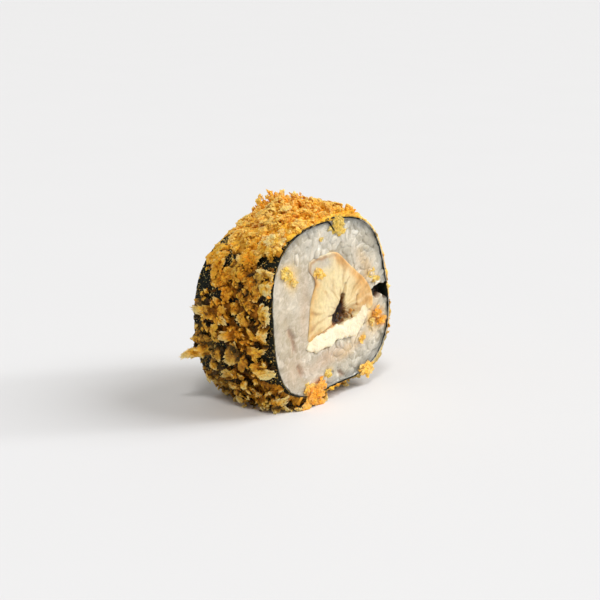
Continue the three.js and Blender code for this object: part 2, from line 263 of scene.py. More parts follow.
# Height of the crust's top over the nori, by angle in degrees, at each of the places along the roll.
CRUST_PLACES = (NEAR_CUT, -3.0, 4.0, 9.5, FAR_CUT)
CRUST_RADIUS = 25.5  # mean radius, for distances round the roll
NORI_RADIUS = 25.0  # about, to make an angle of a small distance round the roll
CRUST_HEIGHTS = {
    0: (0.9, 0.6, 0.6, 0.6, 0.6), 30: (0.5, 0.6, 0.8, 0.9, 0.9), 50: (0.6, 1.6, 2.4, 2.2, 1.8),
    65: (1.7, 2.8, 4.6, 5.2, 5.0), 73: (3.2, 3.9, 5.9, 6.9, 7.1), 84: (3.2, 4.0, 6.0, 7.0, 7.5),
    92: (2.8, 3.8, 5.5, 4.6, 3.8), 98: (2.4, 3.5, 4.9, 3.3, 1.9), 106: (2.1, 3.2, 4.1, 2.5, 2.1),
    118: (1.8, 2.6, 2.6, 1.8, 0.4), 135: (1.7, 1.9, 1.8, 1.2, 0.3), 150: (1.5, 1.8, 1.6, 1.0, 0.2),
    170: (1.5, 1.8, 1.6, 1.4, 1.0), 195: (1.5, 2.1, 2.0, 1.9, 1.6), 212: (1.8, 2.1, 1.9, 1.3, 0.6),
    226: (2.4, 4.2, 3.6, 2.2, 1.8), 233: (4.0, 8.0, 5.4, 2.8, 2.0), 241: (5.6, 9.4, 6.2, 3.0, 2.2),
    252: (5.2, 6.4, 4.2, 2.8, 2.2), 266: (2.8, 2.8, 2.6, 2.6, 2.4), 285: (2.6, 2.6, 2.6, 2.6, 2.4),
    310: (2.4, 2.2, 1.9, 1.9, 1.8), 335: (0.7, 0.8, 0.9, 0.9, 0.9), 360: (0.9, 0.6, 0.6, 0.6, 0.6),
}
# Gaps where the nori shows: angle in degrees, place along the roll, half sizes along the roll and round it.
GAPS = (
    (143.5, -10.6, 2.6, 1.7), (129.5, -13.1, 1.1, 0.7), (134.5, -4.0, 1.0, 0.6),
    (153.5, 11.4, 2.1, 2.9), (165.5, 6.0, 3.2, 1.4), (165.0, -12.1, 1.9, 1.7), (176.0, -0.6, 2.7, 0.8),
    (182.0, 4.6, 3.4, 0.7), (188.5, 7.0, 1.4, 0.8), (200.0, -12.6, 1.8, 2.4), (208.0, 3.8, 2.3, 1.8),
    (211.0, 11.4, 1.9, 2.7), (217.5, -10.6, 3.8, 1.5), (205.5, -6.5, 4.2, 0.4), (126.0, 11.6, 1.5, 2.6),
    (141.0, 2.2, 1.6, 1.4), (154.0, 5.6, 1.1, 0.7), (163.0, -2.2, 0.9, 1.3), (187.0, -13.0, 0.8, 2.6),
    (160.0, 9.0, 1.5, 1.0),
)
SKIN_OVERHANG = 0.15  # past each cut
SKIN_SEAT = 0.05  # inside the nori's middle line
SKIN_CLEAR_OF_FLOOR = 0.05
BARE_RIM = 1.5  # crumbs thin out this far from the near cut at the left, 1 mm more at the lower left
CRUMB_COLOURS = {
    "deep": "2e1a05", "amber": "c47f18", "gold": "ffc23a", "straw": "ffe293", "orange": "fd9d07",
    "olive": "897540",
}


def around_to(angle, degrees):
    """Distance round the roll in mm from an angle in degrees to angles in radians."""
    return ((angle - np.radians(degrees) + np.pi) % (2 * np.pi) - np.pi) * CRUST_RADIUS


def gap_depth(angle, y):
    """1 in the middle of a gap in the crumbs, falling to 0 past its ragged edge."""
    spot = on_wrap(angle, y, 0)
    s, t = (0.7 * noise(spot, 1.5, k) + 0.4 * noise(spot, 0.6, k + 2) for k in (15, 16))
    inside = []
    for at, y0, long, high in GAPS:
        inside.append(1.6 - ((y + t - y0) / long) ** 2 - ((around_to(angle, at) + s) / high) ** 2)
    return eased(np.max(inside, axis=0), 0, 1.0)


def coverage(angle, y):
    """How fully crumbs cover the nori, from 0 to 1: noise of three sizes, more on top, underneath and at
    the right, less in the gaps. It falls to 0 at the near cut, but not at the right or underneath."""
    spot = on_wrap(angle, y, 0)
    on_top = eased(np.sin(angle), 0.7, 0.95)
    patchy = 0.34 + 0.5 * noise(spot, 4.0, 11) + 0.5 * noise(spot, 1.8, 12) + 0.35 * noise(spot, 0.8, 13)
    patchy = patchy + 1.2 * on_top + 0.35 * eased(-np.sin(angle), 0.5, 0.9)
    patchy = patchy + 0.9 * eased(np.cos(angle), 0.1, 0.5) - 1.7 * gap_depth(angle, y)
    low_left = eased(-np.sin(angle), 0.5, 0.8) * eased(-np.cos(angle), 0.1, 0.3)
    ragged = 1 + 0.9 * noise(spot, 2.4, 14)
    rim = eased(y - NEAR_CUT, 0.2 + 1.2 * low_left, (BARE_RIM + low_left) * ragged)
    full = [on_top * eased(np.cos(angle), -0.35, -0.1), eased(np.cos(angle), 0.2, 0.8)]
    full = np.max(full + [eased(-np.sin(angle), 0.93, 0.985)], axis=0)
    return eased(patchy, 0, 0.3) * towards(rim, 1, full)


def crust_top(angle, y):
    """Height of the crust's top over the nori, from the table by straight lines both ways."""
    rows = np.array([[at, *heights] for at, heights in CRUST_HEIGHTS.items()])
    turned = np.degrees(angle) % 360
    lines = [np.interp(turned, rows[:, 0], rows[:, k]) for k in range(1, 6)]
    shares = [np.interp(y, CRUST_PLACES, np.eye(5)[k]) for k in range(5)]
    return sum(line * share for line, share in zip(lines, shares))


def crust_height(angle, y):
    """Height of the crust over the nori: its top, times crags, where crumbs cover the nori."""
    spot = on_wrap(angle, y, 0)
    crags = 0.86 + 0.55 * noise(spot, 3.6, 21) + 0.35 * noise(spot, 1.8, 22)
    return crust_top(angle, y) * crags * coverage(angle, y)


def marked(tone, colours, marks):
    """The tone, moved towards each mark's named colour in turn, by its strength for each point."""
    for colour, strength in marks:
        tone = towards(tone, linear(colours[colour]), np.clip(strength, 0, 1)[..., None])
    return tone


CRUMB_LEVELS = (0, 0.35, 0.7, 1)  # where deep, amber, gold and straw stand on the colour scale


def fried(level, tint):
    """Crumb colour from 0, deep brown for scorched spots and for painted shade in hollows, through amber
    and gold to 1, pale straw. A tint over 0 adds orange and one under 0 adds olive."""
    stops = [linear(CRUMB_COLOURS[k]) for k in ("deep", "amber", "gold", "straw")]
    level, tint = np.broadcast_arrays(np.clip(level, 0, 1), np.clip(tint, -1, 1))
    tone = np.stack([np.interp(level, CRUMB_LEVELS, [s[k] for s in stops]) for k in (0, 1, 2)], -1)
    return marked(tone, CRUMB_COLOURS, [("orange", 0.8 * tint), ("olive", -0.8 * tint)])


def toned(material, bsdf, size, detail, edges, shades, rough=None):
    """Colours a material by its mesh's tone, times noise `size` mm apart. The noise between the two edges
    gives shades from the first to the second, and bumps of the strength `rough` where one is given.
    Returns the Object coordinates."""
    place = add(material, "TexCoord").outputs["Object"]
    tone = add(material, "Attribute", {"attribute_name": "tone"}).outputs["Color"]
    pattern = add(material, "TexNoise", inputs={"Vector": place, "Scale": per_mm(size), "Detail": detail})
    grain = pattern.outputs["Fac"]
    shade = add(material, "MapRange", inputs=dict(enumerate((grain, *edges, *shades))))
    settings = {"data_type": "RGBA", "blend_type": "MULTIPLY"}
    mixed = add(material, "Mix", settings, {0: 1, 6: tone, 7: shade.outputs[0]})
    material.node_tree.links.new(mixed.outputs[2], bsdf.inputs["Base Color"])
    if rough is not None:
        bump = add(material, "Bump", inputs={"Strength": rough, "Distance": 0.0003, "Height": grain})
        material.node_tree.links.new(bump.outputs["Normal"], bsdf.inputs["Normal"])
    return place


def fried_crumb():
    """Breadcrumb fried in oil: matt and porous, and light passes almost a millimetre into it and glows."""
    material, bsdf = new_finish(
        "fried_crumb", Roughness=0.5, IOR=1.28, Subsurface_Weight=0.35, Subsurface_Scale=0.0007,
        Subsurface_Radius=(1.0, 0.8, 0.5),
    )
    toned(material, bsdf, 0.55, 5.0, (0.34, 0.66), (0.76, 1.14), 0.6)
    return material


def crumb_level_and_shade(angle, proud, own):
    """Colour level of crumbs, with painted shade: dark in hollows and pale where they stand proud, with
    far less contrast on the top, which is pale all over. The underside and the right side are a little
    paler too."""
    on_top, below = eased(np.sin(angle), 0.3, 0.85), eased(-np.sin(angle), 0.4, 0.8)
    base = towards(0.42, 0.8, on_top) + 0.3 * below + 0.2 * eased(np.cos(angle), 0.4, 0.8)
    return towards(0.58, 0.07, on_top) * proud + towards(1, 0.35, on_top) * own + base


def own_level(spot):
    """How pale crumbs are by themselves: neighbours within a few millimetres broke from one piece."""
    return 0.2 * noise(spot, 2.6, 36) + 0.12 * noise(spot, 1.1, 37)


def crumb_tint_and_shade(spot):
    """How orange or olive crumbs are: alike among neighbours, a little more orange on the top, and more
    olive at the lower right, and as painted shade underneath and at the back of the lower half."""
    angle, _ = off_wrap(spot)
    y, own = spot[..., 1], 0.1 + 0.6 * noise(spot, 4.2, 38)
    low, on_top = eased(-np.sin(angle), -0.3, 0.3), eased(np.sin(angle), 0.4, 0.9)
    below = 0.4 * eased(-np.sin(angle), 0.45, 0.95)
    below = below + 0.4 * eased(-np.sin(angle), 0.1, 0.5) * eased(np.cos(angle), 0.1, 0.5)
    return own + 0.1 * on_top - 0.5 * low * eased(y, 2, 10) - below


def batter_skin(around=760, along=122, inside=6):
    """A closed sleeve: the outer side follows crust_height with fine crags, the inner lies in the nori.

    The skin is thicker at the right, where few crumbs hide it, and rises over the nori's lapped end.
    """
    angle = np.linspace(0, 2 * np.pi, around, endpoint=False)
    y = np.linspace(NEAR_CUT - SKIN_OVERHANG, FAR_CUT + SKIN_OVERHANG, along)[:, None]
    spot = on_wrap(angle, y, 0)
    height = crust_height(angle, y)
    on_top, right = eased(np.sin(angle), 0.4, 0.9), eased(np.cos(angle), 0.1, 0.6)
    ridges = 1 - 2 * np.abs(noise(spot, 1.3, 23))
    fine = 0.4 * ridges + 0.35 * noise(spot, 0.7, 24) + 0.2 * noise(spot, 0.4, 27)
    lift = 0.02 + towards(0.36, 0.48, on_top) * height + fine * eased(height, 0.1, 0.8)
    lift = np.where(height < 0.06, 0.0, lift + 0.4 * right)
    turned = np.degrees(angle) - SEAM_ANGLE
    over_lap = eased(turned, -TUCK_TURN - 3, -3) * eased(-turned, -LAP_TURN - 2, -LAP_TURN)
    lift = np.maximum(lift, (LAP_RISE + 0.5) * over_lap * eased(height, 0, 0.1))
    shift = 0.6 * eased(height, 0.1, 0.8)
    turned = angle + shift * noise(spot, 1.2, 28) / NORI_RADIUS
    outer = on_wrap(turned, y + shift * noise(spot, 1.2, 29), lift)
    inner = on_wrap(angle, np.linspace(FAR_CUT, NEAR_CUT, inside)[:, None], -SKIN_SEAT)
    # Painted shade: the skin is coloured as lying deep under the crumbs, dark brown in the gaps, except at
    # the right and less so underneath.
    proud = towards(0.25 * ridges - 1.2, 0.3, np.maximum(right, 0.5 * eased(-np.sin(angle), 0.4, 0.8)))
    tone = fried(crumb_level_and_shade(angle, proud, own_level(spot)), crumb_tint_and_shade(spot) - 0.3 * right)
    points = np.concatenate([outer, inner])
    points[..., 2] = np.maximum(points[..., 2], SKIN_CLEAR_OF_FLOOR)
    return points, net(along + inside, around, True, True), np.concatenate([tone, tone[:inside]])


crumb_finish = fried_crumb()
points, triangles, tone = batter_skin()
make_piece("batter_skin", points, triangles, crumb_finish, "crumbed_nori", tone)

# -------------------------------------------------------------------------------------------- panko crumbs
# Coarse, shredded Japanese breadcrumbs, fried golden: torn flakes up to 9 mm long with jagged edges,
# and splinters down to a third of a millimetre that cling to them. Edges are painted pale, as light
# through them, and hollows painted amber brown, as shade.

# The big flakes of the crumbed left side: angle in degrees, place along the roll, length, width, lean of
# the length from the roll's axis in degrees, colour level and tint.
BIG_FLAKES = (
    (132.0, -10.2, 4.6, 3.6, 10, 0.92, 0.0), (134.0, -7.6, 3.6, 3.0, 0, 0.68, 0.2),
    (143.0, -3.6, 5.4, 2.8, 0, 0.6, 0.5), (139.5, -6.2, 2.8, 1.6, 0, 0.85, 0.0),
    (151.0, -12.0, 4.4, 1.8, -10, 0.92, 0.0), (157.0, -12.4, 3.2, 2.6, 90, 0.88, 0.0),
    (154.0, 3.4, 5.6, 2.2, 25, 0.64, 0.3), (158.0, 6.2, 3.2, 1.7, 10, 0.78, 0.0),
    (156.5, -6.4, 3.6, 3.0, 60, 0.5, 0.6), (153.0, -2.8, 3.4, 2.6, 0, 0.55, 0.5),
    (174.0, -11.6, 3.8, 3.2, 40, 0.93, 0.0), (177.0, -5.0, 2.8, 2.0, 20, 0.84, 0.0),
    (171.5, -1.2, 2.8, 2.4, 0, 0.74, 0.2), (176.6, 6.4, 9.0, 1.9, -9, 0.74, 0.1),
    (187.5, -1.8, 6.2, 2.8, 10, 0.58, 0.5), (187.0, -10.8, 5.2, 2.8, 80, 0.8, 0.1),
    (198.0, -7.4, 5.4, 4.0, 20, 0.66, 0.0), (209.5, -8.8, 8.6, 2.8, 12, 0.84, 0.0),
    (199.0, -0.5, 5.2, 4.2, 60, 0.5, -0.5), (210.0, 8.2, 3.6, 2.2, 80, 0.7, 0.0),
    (214.0, 1.4, 5.6, 2.6, 15, 0.62, -0.3), (188.5, 4.6, 3.8, 1.9, 10, 0.74, 0.0),
    (164.0, 0.6, 3.4, 1.9, 80, 0.6, 0.4), (166.0, -6.6, 3.4, 2.6, 30, 0.66, 0.3),
    (147.0, 6.6, 3.6, 2.4, 0, 0.66, 0.2), (141.0, 8.4, 3.2, 2.4, 40, 0.68, 0.0),
    (193.0, 9.6, 3.8, 2.2, 10, 0.6, -0.4), (162.0, -9.2, 3.2, 2.2, 70, 0.62, 0.3),
    (224.0, -4.0, 5.0, 2.6, 20, 0.76, 0.0), (231.0, -9.5, 4.6, 2.4, 10, 0.75, 0.1),
    (239.0, -7.4, 2.8, 1.9, 60, 0.95, 0.0), (240.0, -10.6, 3.0, 1.8, 80, 0.92, 0.0),
    (243.0, -13.0, 2.4, 1.6, 90, 0.9, 0.1), (238.0, -3.8, 3.2, 2.0, 70, 0.85, 0.1),
    (222.0, 2.2, 4.4, 3.0, 30, 0.75, 0.0), (236.5, 8.6, 3.6, 2.2, 40, 0.7, 0.0),
)
# The flakes that stand clear of the crust: the same, with the lift of their middle and their tilt in
# degrees.
STANDING_FLAKES = (
    (199.6, 11.6, 7.0, 2.8, 4, 0.76, 0.1, 2.3, 32), (193.0, 12.2, 2.6, 1.4, -20, 0.74, 0.0, 1.6, 20),
)
CRUMB_KINDS = (
    # name, count, points round, points down, length from, length to, width, thickness, tilt in degrees
    ("panko_coarse", 340, 22, 11, 2.2, 4.2, 0.5, 0.36, 75),
    ("panko_torn", 720, 14, 8, 1.5, 2.8, 0.5, 0.4, 85),
    ("panko_medium", 1500, 11, 6, 0.9, 2.0, 0.5, 0.45, 90),
)
PLACES_TRIED = 8  # random places for each crumb, of which the uncovered ones fall away
SPLINTERS = (
    # name, count, points round, points down, length from, length to, share on bare nori
    ("panko_splinters", 9000, 5, 3, 0.7, 1.6, 0.08),
    ("panko_dust", 8400, 5, 3, 0.35, 0.9, 0.5),
)


def ball_net(around, down):
    """Triangles of a ball with two poles and down - 1 rings of `around` points."""
    rings = net(down - 1, around, closed_columns=True) + 1
    step = np.arange(around)
    top = np.stack([np.zeros(around, int), 1 + (step + 1) % around, 1 + step], -1)
    low = 1 + (down - 2) * around
    end = np.full(around, low + around)
    return np.concatenate([top, rings, np.stack([end, low + step, low + (step + 1) % around], -1)])


def ball_points(around, down):
    """Unit directions of the same ball: its first pole, its rings from the top down, its last pole."""
    tilt = np.linspace(0, np.pi, down + 1)[1:-1, None]
    turn = np.linspace(0, 2 * np.pi, around, endpoint=False)
    out = np.sin(tilt)
    rings = np.stack([out * np.cos(turn), out * np.sin(turn), np.cos(tilt) + 0 * turn], -1)
    return np.concatenate([[[0, 0, 1]], rings.reshape(-1, 3), [[0, 0, -1]]])


def torn_flakes(rng, count, around, down, length, width, thickness):
    """Torn flakes (count, points, 3) and how near its jagged edge each point is, from 0 to about 1.4.

    A ball's radius gets swells, ridges and a random tooth for each point, each scale of noise sampled at
    a random place for each flake. It is flattened, with thin edges, then curled and folded.
    """
    way = ball_points(around, down)
    edge = 1 - way[:, 2] ** 2
    own = rng.integers(0, 4000, (count, 1, 3)) * 1.0
    swell, ridge = noise(way + own, 1.0, 31), 1 - 2 * np.abs(noise(way + own, 0.5, 32))
    teeth = rng.uniform(-1, 1, (count, len(way)))
    reach = 1 + edge * (0.45 * swell + 0.3 * ridge + 0.34 * teeth) + 0.08 * teeth
    deep = 1 + 0.5 * noise(way + own, 0.45, 33) + 0.3 * rng.uniform(-1, 1, (count, len(way)))
    x = way[:, 0] * reach
    y = way[:, 1] * reach * width * rng.uniform(0.75, 1.25, (count, 1))
    z = way[:, 2] * (0.45 + 0.55 * np.abs(way[:, 2])) * deep * thickness * rng.uniform(0.7, 1.3, (count, 1))
    curl, fold, crease = (rng.uniform(-s, s, (count, 1)) for s in (0.35, 0.5, 0.4))
    z = z + curl * x**2 + fold * np.abs(x - crease)
    z = z + 0.22 * noise(np.stack([x, y, 0 * x], -1) + own, 0.5, 35)
    z = z - z.mean(1, keepdims=True)
    sharp = edge**3 * (0.55 + 0.5 * reach * (ridge + teeth) / 2)
    return np.stack([x, y, z], -1) * (length / 2)[:, None, None], sharp


def lay_down(shapes, angle, spin, lean):
    """Turns shapes made flat in XY to lie on the wrap at each angle, spun about its normal and leant."""
    x, y, z = shapes[..., 0], shapes[..., 1], shapes[..., 2]
    c, s = np.cos(lean)[:, None], np.sin(lean)[:, None]
    x, z = x * c - z * s, x * s + z * c
    c, s = np.cos(spin)[:, None], np.sin(spin)[:, None]
    x, y = x * c - y * s, x * s + y * c
    c, s = np.cos(angle)[:, None], np.sin(angle)[:, None]
    return np.stack([-s * x + c * z, y, c * x + s * z], -1)


def join_many(shapes, triangles):
    """The triangles of many equal-sized shapes laid one after another."""
    count, each = shapes.shape[:2]
    return (triangles[None] + np.arange(count)[:, None, None] * each).reshape(-1, 3)


CLEAR_OF_RICE, CLEAR_OF_FLOOR = 0.22, 0.02  # lift over the nori's middle line, and height
PAST_CUT = 0.6  # how far crumbs may hang over a cut


def keep_clear(points, spare=0.0):
    """Pushes points off the rice, back to the cuts, up to the floor and down to near the crust's top."""
    at, over = off_wrap(points)
    top = crust_top(at, points[..., 1])
    soft = spare + 0.2 + 0.15 * top
    reached = np.where(over > top, top + soft * (1 - np.exp((top - over) / soft)), over)
    pushed = on_wrap(at, points[..., 1], np.maximum(reached, CLEAR_OF_RICE))
    pushed[..., 1] = np.clip(pushed[..., 1], NEAR_CUT - PAST_CUT, FAR_CUT + PAST_CUT)
    pushed[..., 2] = np.maximum(pushed[..., 2], CLEAR_OF_FLOOR)
    return pushed


def big_flakes(around=40, down=18):
    """The listed flakes, each laid along its own lean on the batter skin, or standing clear at its tilt."""
    rng = np.random.default_rng(21)
    flat = [(*f, 0.3 + 0.55 * crust_top(np.radians(f[0]), f[1]), rng.uniform(-14, 14)) for f in BIG_FLAKES]
    degrees, y, length, width, lean, level, tint, lift, tilt = np.array(flat + list(STANDING_FLAKES)).T
    angle = np.radians(degrees)
    shape, edge = torn_flakes(rng, len(y), around, down, length * 1.05, (width / length)[:, None], 0.24)
    shape[..., 2] += 0.3 * noise(shape + 9.0 * y[:, None, None], 0.8, 40)
    laid = lay_down(shape, angle, np.pi / 2 - np.radians(lean), np.radians(tilt))
    points = laid + on_wrap(angle, y, lift)[:, None]
    standing = (np.arange(len(y)) >= len(BIG_FLAKES))[:, None, None]
    points = np.where(standing, points, keep_clear(points, 0.5))
    # Painted light: flakes grow paler towards their thin edges, where light shows through.
    level, tint = level[:, None] - 0.5 + 0.22 * edge, tint[:, None] * (1 - 0.6 * edge)
    return points, join_many(shape, ball_net(around, down)), level, tint


def panko(count, around, down, shortest, longest, width, thickness, tilt, seed):
    """Torn crumbs of one size range, taken at random where the crust covers the nori. Those on the top
    are shorter and chunkier."""
    rng = np.random.default_rng(seed)
    tried = PLACES_TRIED * count
    angle = rng.uniform(0, 2 * np.pi, tried)
    y = rng.uniform(NEAR_CUT + 0.2, FAR_CUT - 0.3, tried)
    thick = crust_height(angle, y) / crust_top(angle, y)
    thick = thick * eased(noise(on_wrap(angle, y, 0), 1.6, 39), -0.5, 0.1)
    kept = rng.uniform(0, 1, tried) < 0.01 + thick**2 * (0.6 + 0.4 * np.sin(angle))
    angle, y = angle[kept][:count], y[kept][:count]
    length = towards(shortest, longest, rng.uniform(0, 1, len(angle)) ** 1.4)
    on_top = eased(np.sin(angle), 0.3, 0.85)
    length = length * (1 - 0.25 * on_top)
    chunky = 1 + 0.4 * on_top[:, None]
    shape, edge = torn_flakes(rng, len(angle), around, down, length, width * chunky, thickness * chunky)
    lowest = towards(0.3, 0.42, eased(np.sin(angle), 0.4, 0.9))
    lift = 0.1 + towards(lowest, 0.95, rng.uniform(0, 1, len(angle)) ** 0.7) * crust_height(angle, y)
    spin, lean = rng.uniform(0, 2 * np.pi, len(angle)), np.radians(tilt) * rng.uniform(0.3, 1, len(angle))
    points = keep_clear(lay_down(shape, angle, spin, lean) + on_wrap(angle, y, lift)[:, None])
    middle = points.mean(1, keepdims=True)
    # Painted light: paler towards the thin edges, where light shows through, less so on the top.
    painted_edge_glow = 0.2 * edge * towards(1, 0.5, np.sin(angle) > 0.6)[:, None]
    level = own_level(middle) + rng.normal(0, 0.07, (len(angle), 1)) + painted_edge_glow
    return points, join_many(shape, ball_net(around, down)), level, crumb_tint_and_shade(middle) * (1 - 0.4 * edge)


def splinters(anchors, count, around, down, shortest, longest, loose_share, seed):
    """Small sharp pieces that stand on the crumbs' surface at random points of it, with a share of them
    loose on the bare nori, from dark olive to floury."""
    rng = np.random.default_rng(seed)
    loose = int(count * loose_share)
    spot = anchors[rng.integers(0, len(anchors), count - loose)]
    angle, y = rng.uniform(0, 2 * np.pi, 2 * loose), rng.uniform(NEAR_CUT, FAR_CUT, 2 * loose)
    barest = np.argsort(coverage(angle, y) + rng.uniform(0, 0.7, 2 * loose))[:loose]
    spot = np.concatenate([spot, on_wrap(angle[barest], y[barest], 0.24)])
    length = towards(shortest, longest, rng.uniform(0, 1, count) ** 2)
    length[-loose:] *= 0.75
    way = ball_points(around, down) * (1 + rng.uniform(-0.45, 0.45, (count, 2 + around * (down - 1), 1)))
    sides = [np.ones(count), rng.uniform(0.35, 0.7, count), rng.uniform(0.25, 0.5, count)]
    shape = way * np.stack(sides, -1)[:, None] * (length / 2)[:, None, None]
    at, _ = off_wrap(spot)
    spin, lean = rng.uniform(0, 2 * np.pi, count), rng.uniform(-np.pi / 2, np.pi / 2, count)
    points = keep_clear(lay_down(shape, at, spin, lean) + spot[:, None])
    is_loose = np.arange(count) >= count - loose
    flour = rng.uniform(0.0, 1.0, count) ** 1.3
    level = np.where(is_loose, 1.4 * flour - 0.1, own_level(spot) + rng.normal(0.08, 0.1, count))
    tint = np.where(is_loose, 0.9 * flour - 0.9, crumb_tint_and_shade(spot))
    return points, join_many(shape, ball_net(around, down)), level[:, None], tint[:, None]


RIM_BAND = 1.5  # width of the band along each cut


def rim_places(count=44000):
    """Random places on the batter skin along both rims, on top and at the right, where fine crumbs hold."""
    rng = np.random.default_rng(31)
    angle = np.radians(rng.uniform(-30, 100, count))
    y = NEAR_CUT + RIM_BAND * rng.uniform(0, 1, count) ** 1.3
    y[::2] *= -1
    return on_wrap(angle, y, 0.15 + rng.uniform(0.3, 0.6, count) * crust_height(angle, y))


def relief_map(points, cell=0.3, reach=4):
    """The crust's upper surface over the nori on a grid of cells, and its mean height around each cell.

    Returns for points how far they stand over that mean, and how far they lie under the surface, in mm.
    """
    rows, columns = int(2 * np.pi * CRUST_RADIUS / cell), int(LENGTH / cell) + 8
    angle, lift = off_wrap(points)
    i = (angle / (2 * np.pi) * rows).astype(int) % rows
    j = np.clip(((points[:, 1] - NEAR_CUT) / cell).astype(int) + 3, 0, columns - 1)
    top = np.zeros((rows, columns))
    np.maximum.at(top, (i, j), lift)
    top = np.max([np.roll(top, (a, b), (0, 1)) for a in (-1, 0, 1) for b in (-1, 0, 1)], axis=0)
    mean = top
    for axis in (0, 1, 0, 1):
        mean = np.mean([np.roll(mean, k, axis) for k in range(-reach, reach + 1)], axis=0)
    return lift - mean[i, j], top[i, j] - lift


batches = [("panko_big", *big_flakes())]
batches += [(name, *panko(*kind, seed)) for seed, (name, *kind) in enumerate(CRUMB_KINDS)]
anchors = np.concatenate([batch[1].reshape(-1, 3) for batch in batches] + [rim_places()])
batches += [(name, *splinters(anchors, *kind, seed + 5)) for seed, (name, *kind) in enumerate(SPLINTERS)]
every_point = np.concatenate([batch[1].reshape(-1, 3) for batch in batches])
over_mean, under_top = relief_map(every_point)
done = 0
for name, points, triangles, level, tint in batches:
    part = slice(done, done + points.size // 3)
    done = part.stop
    flat = points.reshape(-1, 3)
    # Painted shade: crumbs darken where they sink below the crust's mean surface and where others lie over
    # them, and grow pale where they stand proud.
    proud = np.clip(1.15 * over_mean[part], -1.2, 1.2) - 0.25 * under_top[part] + 0.3 * noise(flat, 0.8, 41)
    own = (level + 0 * points[..., 0]).ravel()
    tone = fried(crumb_level_and_shade(off_wrap(flat)[0], proud, own), (tint + 0 * points[..., 0]).ravel())
    make_piece(name, points, triangles, crumb_finish, "crumbed_nori", tone, smooth=False)

# -------------------------------------------------------------------------------------------- packed rice
# Cooked short-grain rice, packed so hard by the roller that the grains share one sticky, translucent mass.
# At a cut the knife shears them flush: grains about 6 mm long and 2.8 mm wide, with rounded shoulders and
# soft grooves between. It smears them nearly flat at the left of the near cut.

FILLING_CENTRE = (4.6, 26.0)
BANANA_OUTLINE = (
    (-9.0, 18.7), (-3.2, 19.5), (2.6, 20.8), (8.0, 21.2), (14.0, 22.4), (18.9, 23.0), (18.7, 27.0),
    (15.1, 31.6), (7.6, 37.4), (2.6, 41.3), (-3.3, 41.5), (-8.6, 40.5), (-8.9, 38.0), (-6.3, 34.6),
    (-8.2, 29.5), (-9.0, 22.5),
)
CHEESE_BELOW = (
    (-10.2, 16.9), (-9.4, 15.8), (-5.3, 15.0), (0.5, 15.1), (4.1, 15.9), (8.0, 16.0), (11.8, 15.2),
    (13.3, 17.0), (16.0, 19.9), (16.8, 22.6),
)
RICE_COLOURS = {
    "milky": "e4dccb", "clear": "9f9680", "grey": "84837a", "pink": "cba785", "warm": "dcb880",
    "brown": "a06a42", "black": "1e1209", "yellow": "f0c356", "orange": "f09a1c",
}
# The pocket left beside the nori, sunk and painted brown to black as its shadow: ovals of middle and
# half sizes.
RICE_POCKET = (((22.4, 26.8), (3.8, 1.6)), ((25.0, 26.4), (1.3, 2.2)))
# Marks on the near cut, each with its colour, strength, middle, half sizes and lean in degrees. The
# grey marks by the rim are painted shade of the dark nori seen through the rice.
RICE_MARKS = (
    ("grey", 0.65, (21.5, 41.0), (3.0, 6.5), 33), ("grey", 0.5, (12.0, 48.0), (6.0, 1.8), -25),
    ("grey", 0.45, (1.0, 48.2), (4.0, 2.2), 25), ("grey", 0.4, (-9.5, 45.0), (4.5, 2.2), 38),
    ("grey", 0.7, (14.5, 6.0), (7.0, 2.6), 20), ("grey", 0.55, (23.8, 32.0), (1.8, 3.5), 10),
    ("clear", 0.6, (17.0, 39.0), (5.0, 5.0), 0), ("clear", 0.5, (3.0, 10.0), (9.0, 3.5), 12),
    ("pink", 0.5, (-11.0, 27.0), (2.2, 9.0), 0), ("pink", 0.4, (-15.0, 12.0), (4.0, 5.0), 0),
    ("pink", 0.55, (-2.0, 12.0), (9.0, 2.2), 8), ("warm", 0.3, (-16.5, 26.0), (7.0, 17.0), 0),
    ("clear", 0.35, (-15.0, 24.0), (6.0, 16.0), 0), ("milky", 0.7, (-5.5, 45.2), (5.0, 2.6), 30),
    ("milky", 0.4, (-15.0, 31.0), (2.6, 4.0), 20), ("milky", 0.7, (19.5, 35.5), (2.6, 2.0), 0),
    ("milky", 0.5, (9.0, 43.5), (4.0, 2.2), -20), ("warm", 0.7, (16.5, 33.5), (3.6, 2.6), -40),
    ("warm", 0.75, (18.5, 20.0), (3.2, 4.4), 0), ("warm", 0.6, (8.0, 13.2), (7.0, 2.0), 12),
    ("warm", 0.5, (13.5, 37.5), (3.0, 2.0), -40), ("yellow", 1.0, (-18.3, 39.8), (2.6, 1.5), 0),
    ("yellow", 1.0, (-15.9, 37.0), (2.2, 2.1), 0), ("yellow", 0.75, (21.0, 19.2), (4.6, 3.0), -40),
    ("orange", 1.0, (21.2, 20.4), (1.8, 1.4), 0), ("orange", 1.0, (24.0, 17.4), (1.7, 1.4), 0),
    ("yellow", 0.7, (15.0, 14.4), (1.0, 1.0), 0), ("yellow", 0.5, (-0.6, 7.8), (1.2, 1.2), 0),
    ("orange", 0.9, (-6.0, 4.0), (3.0, 2.4), 0), ("yellow", 0.5, (19.4, 31.4), (1.4, 1.6), 0),
)
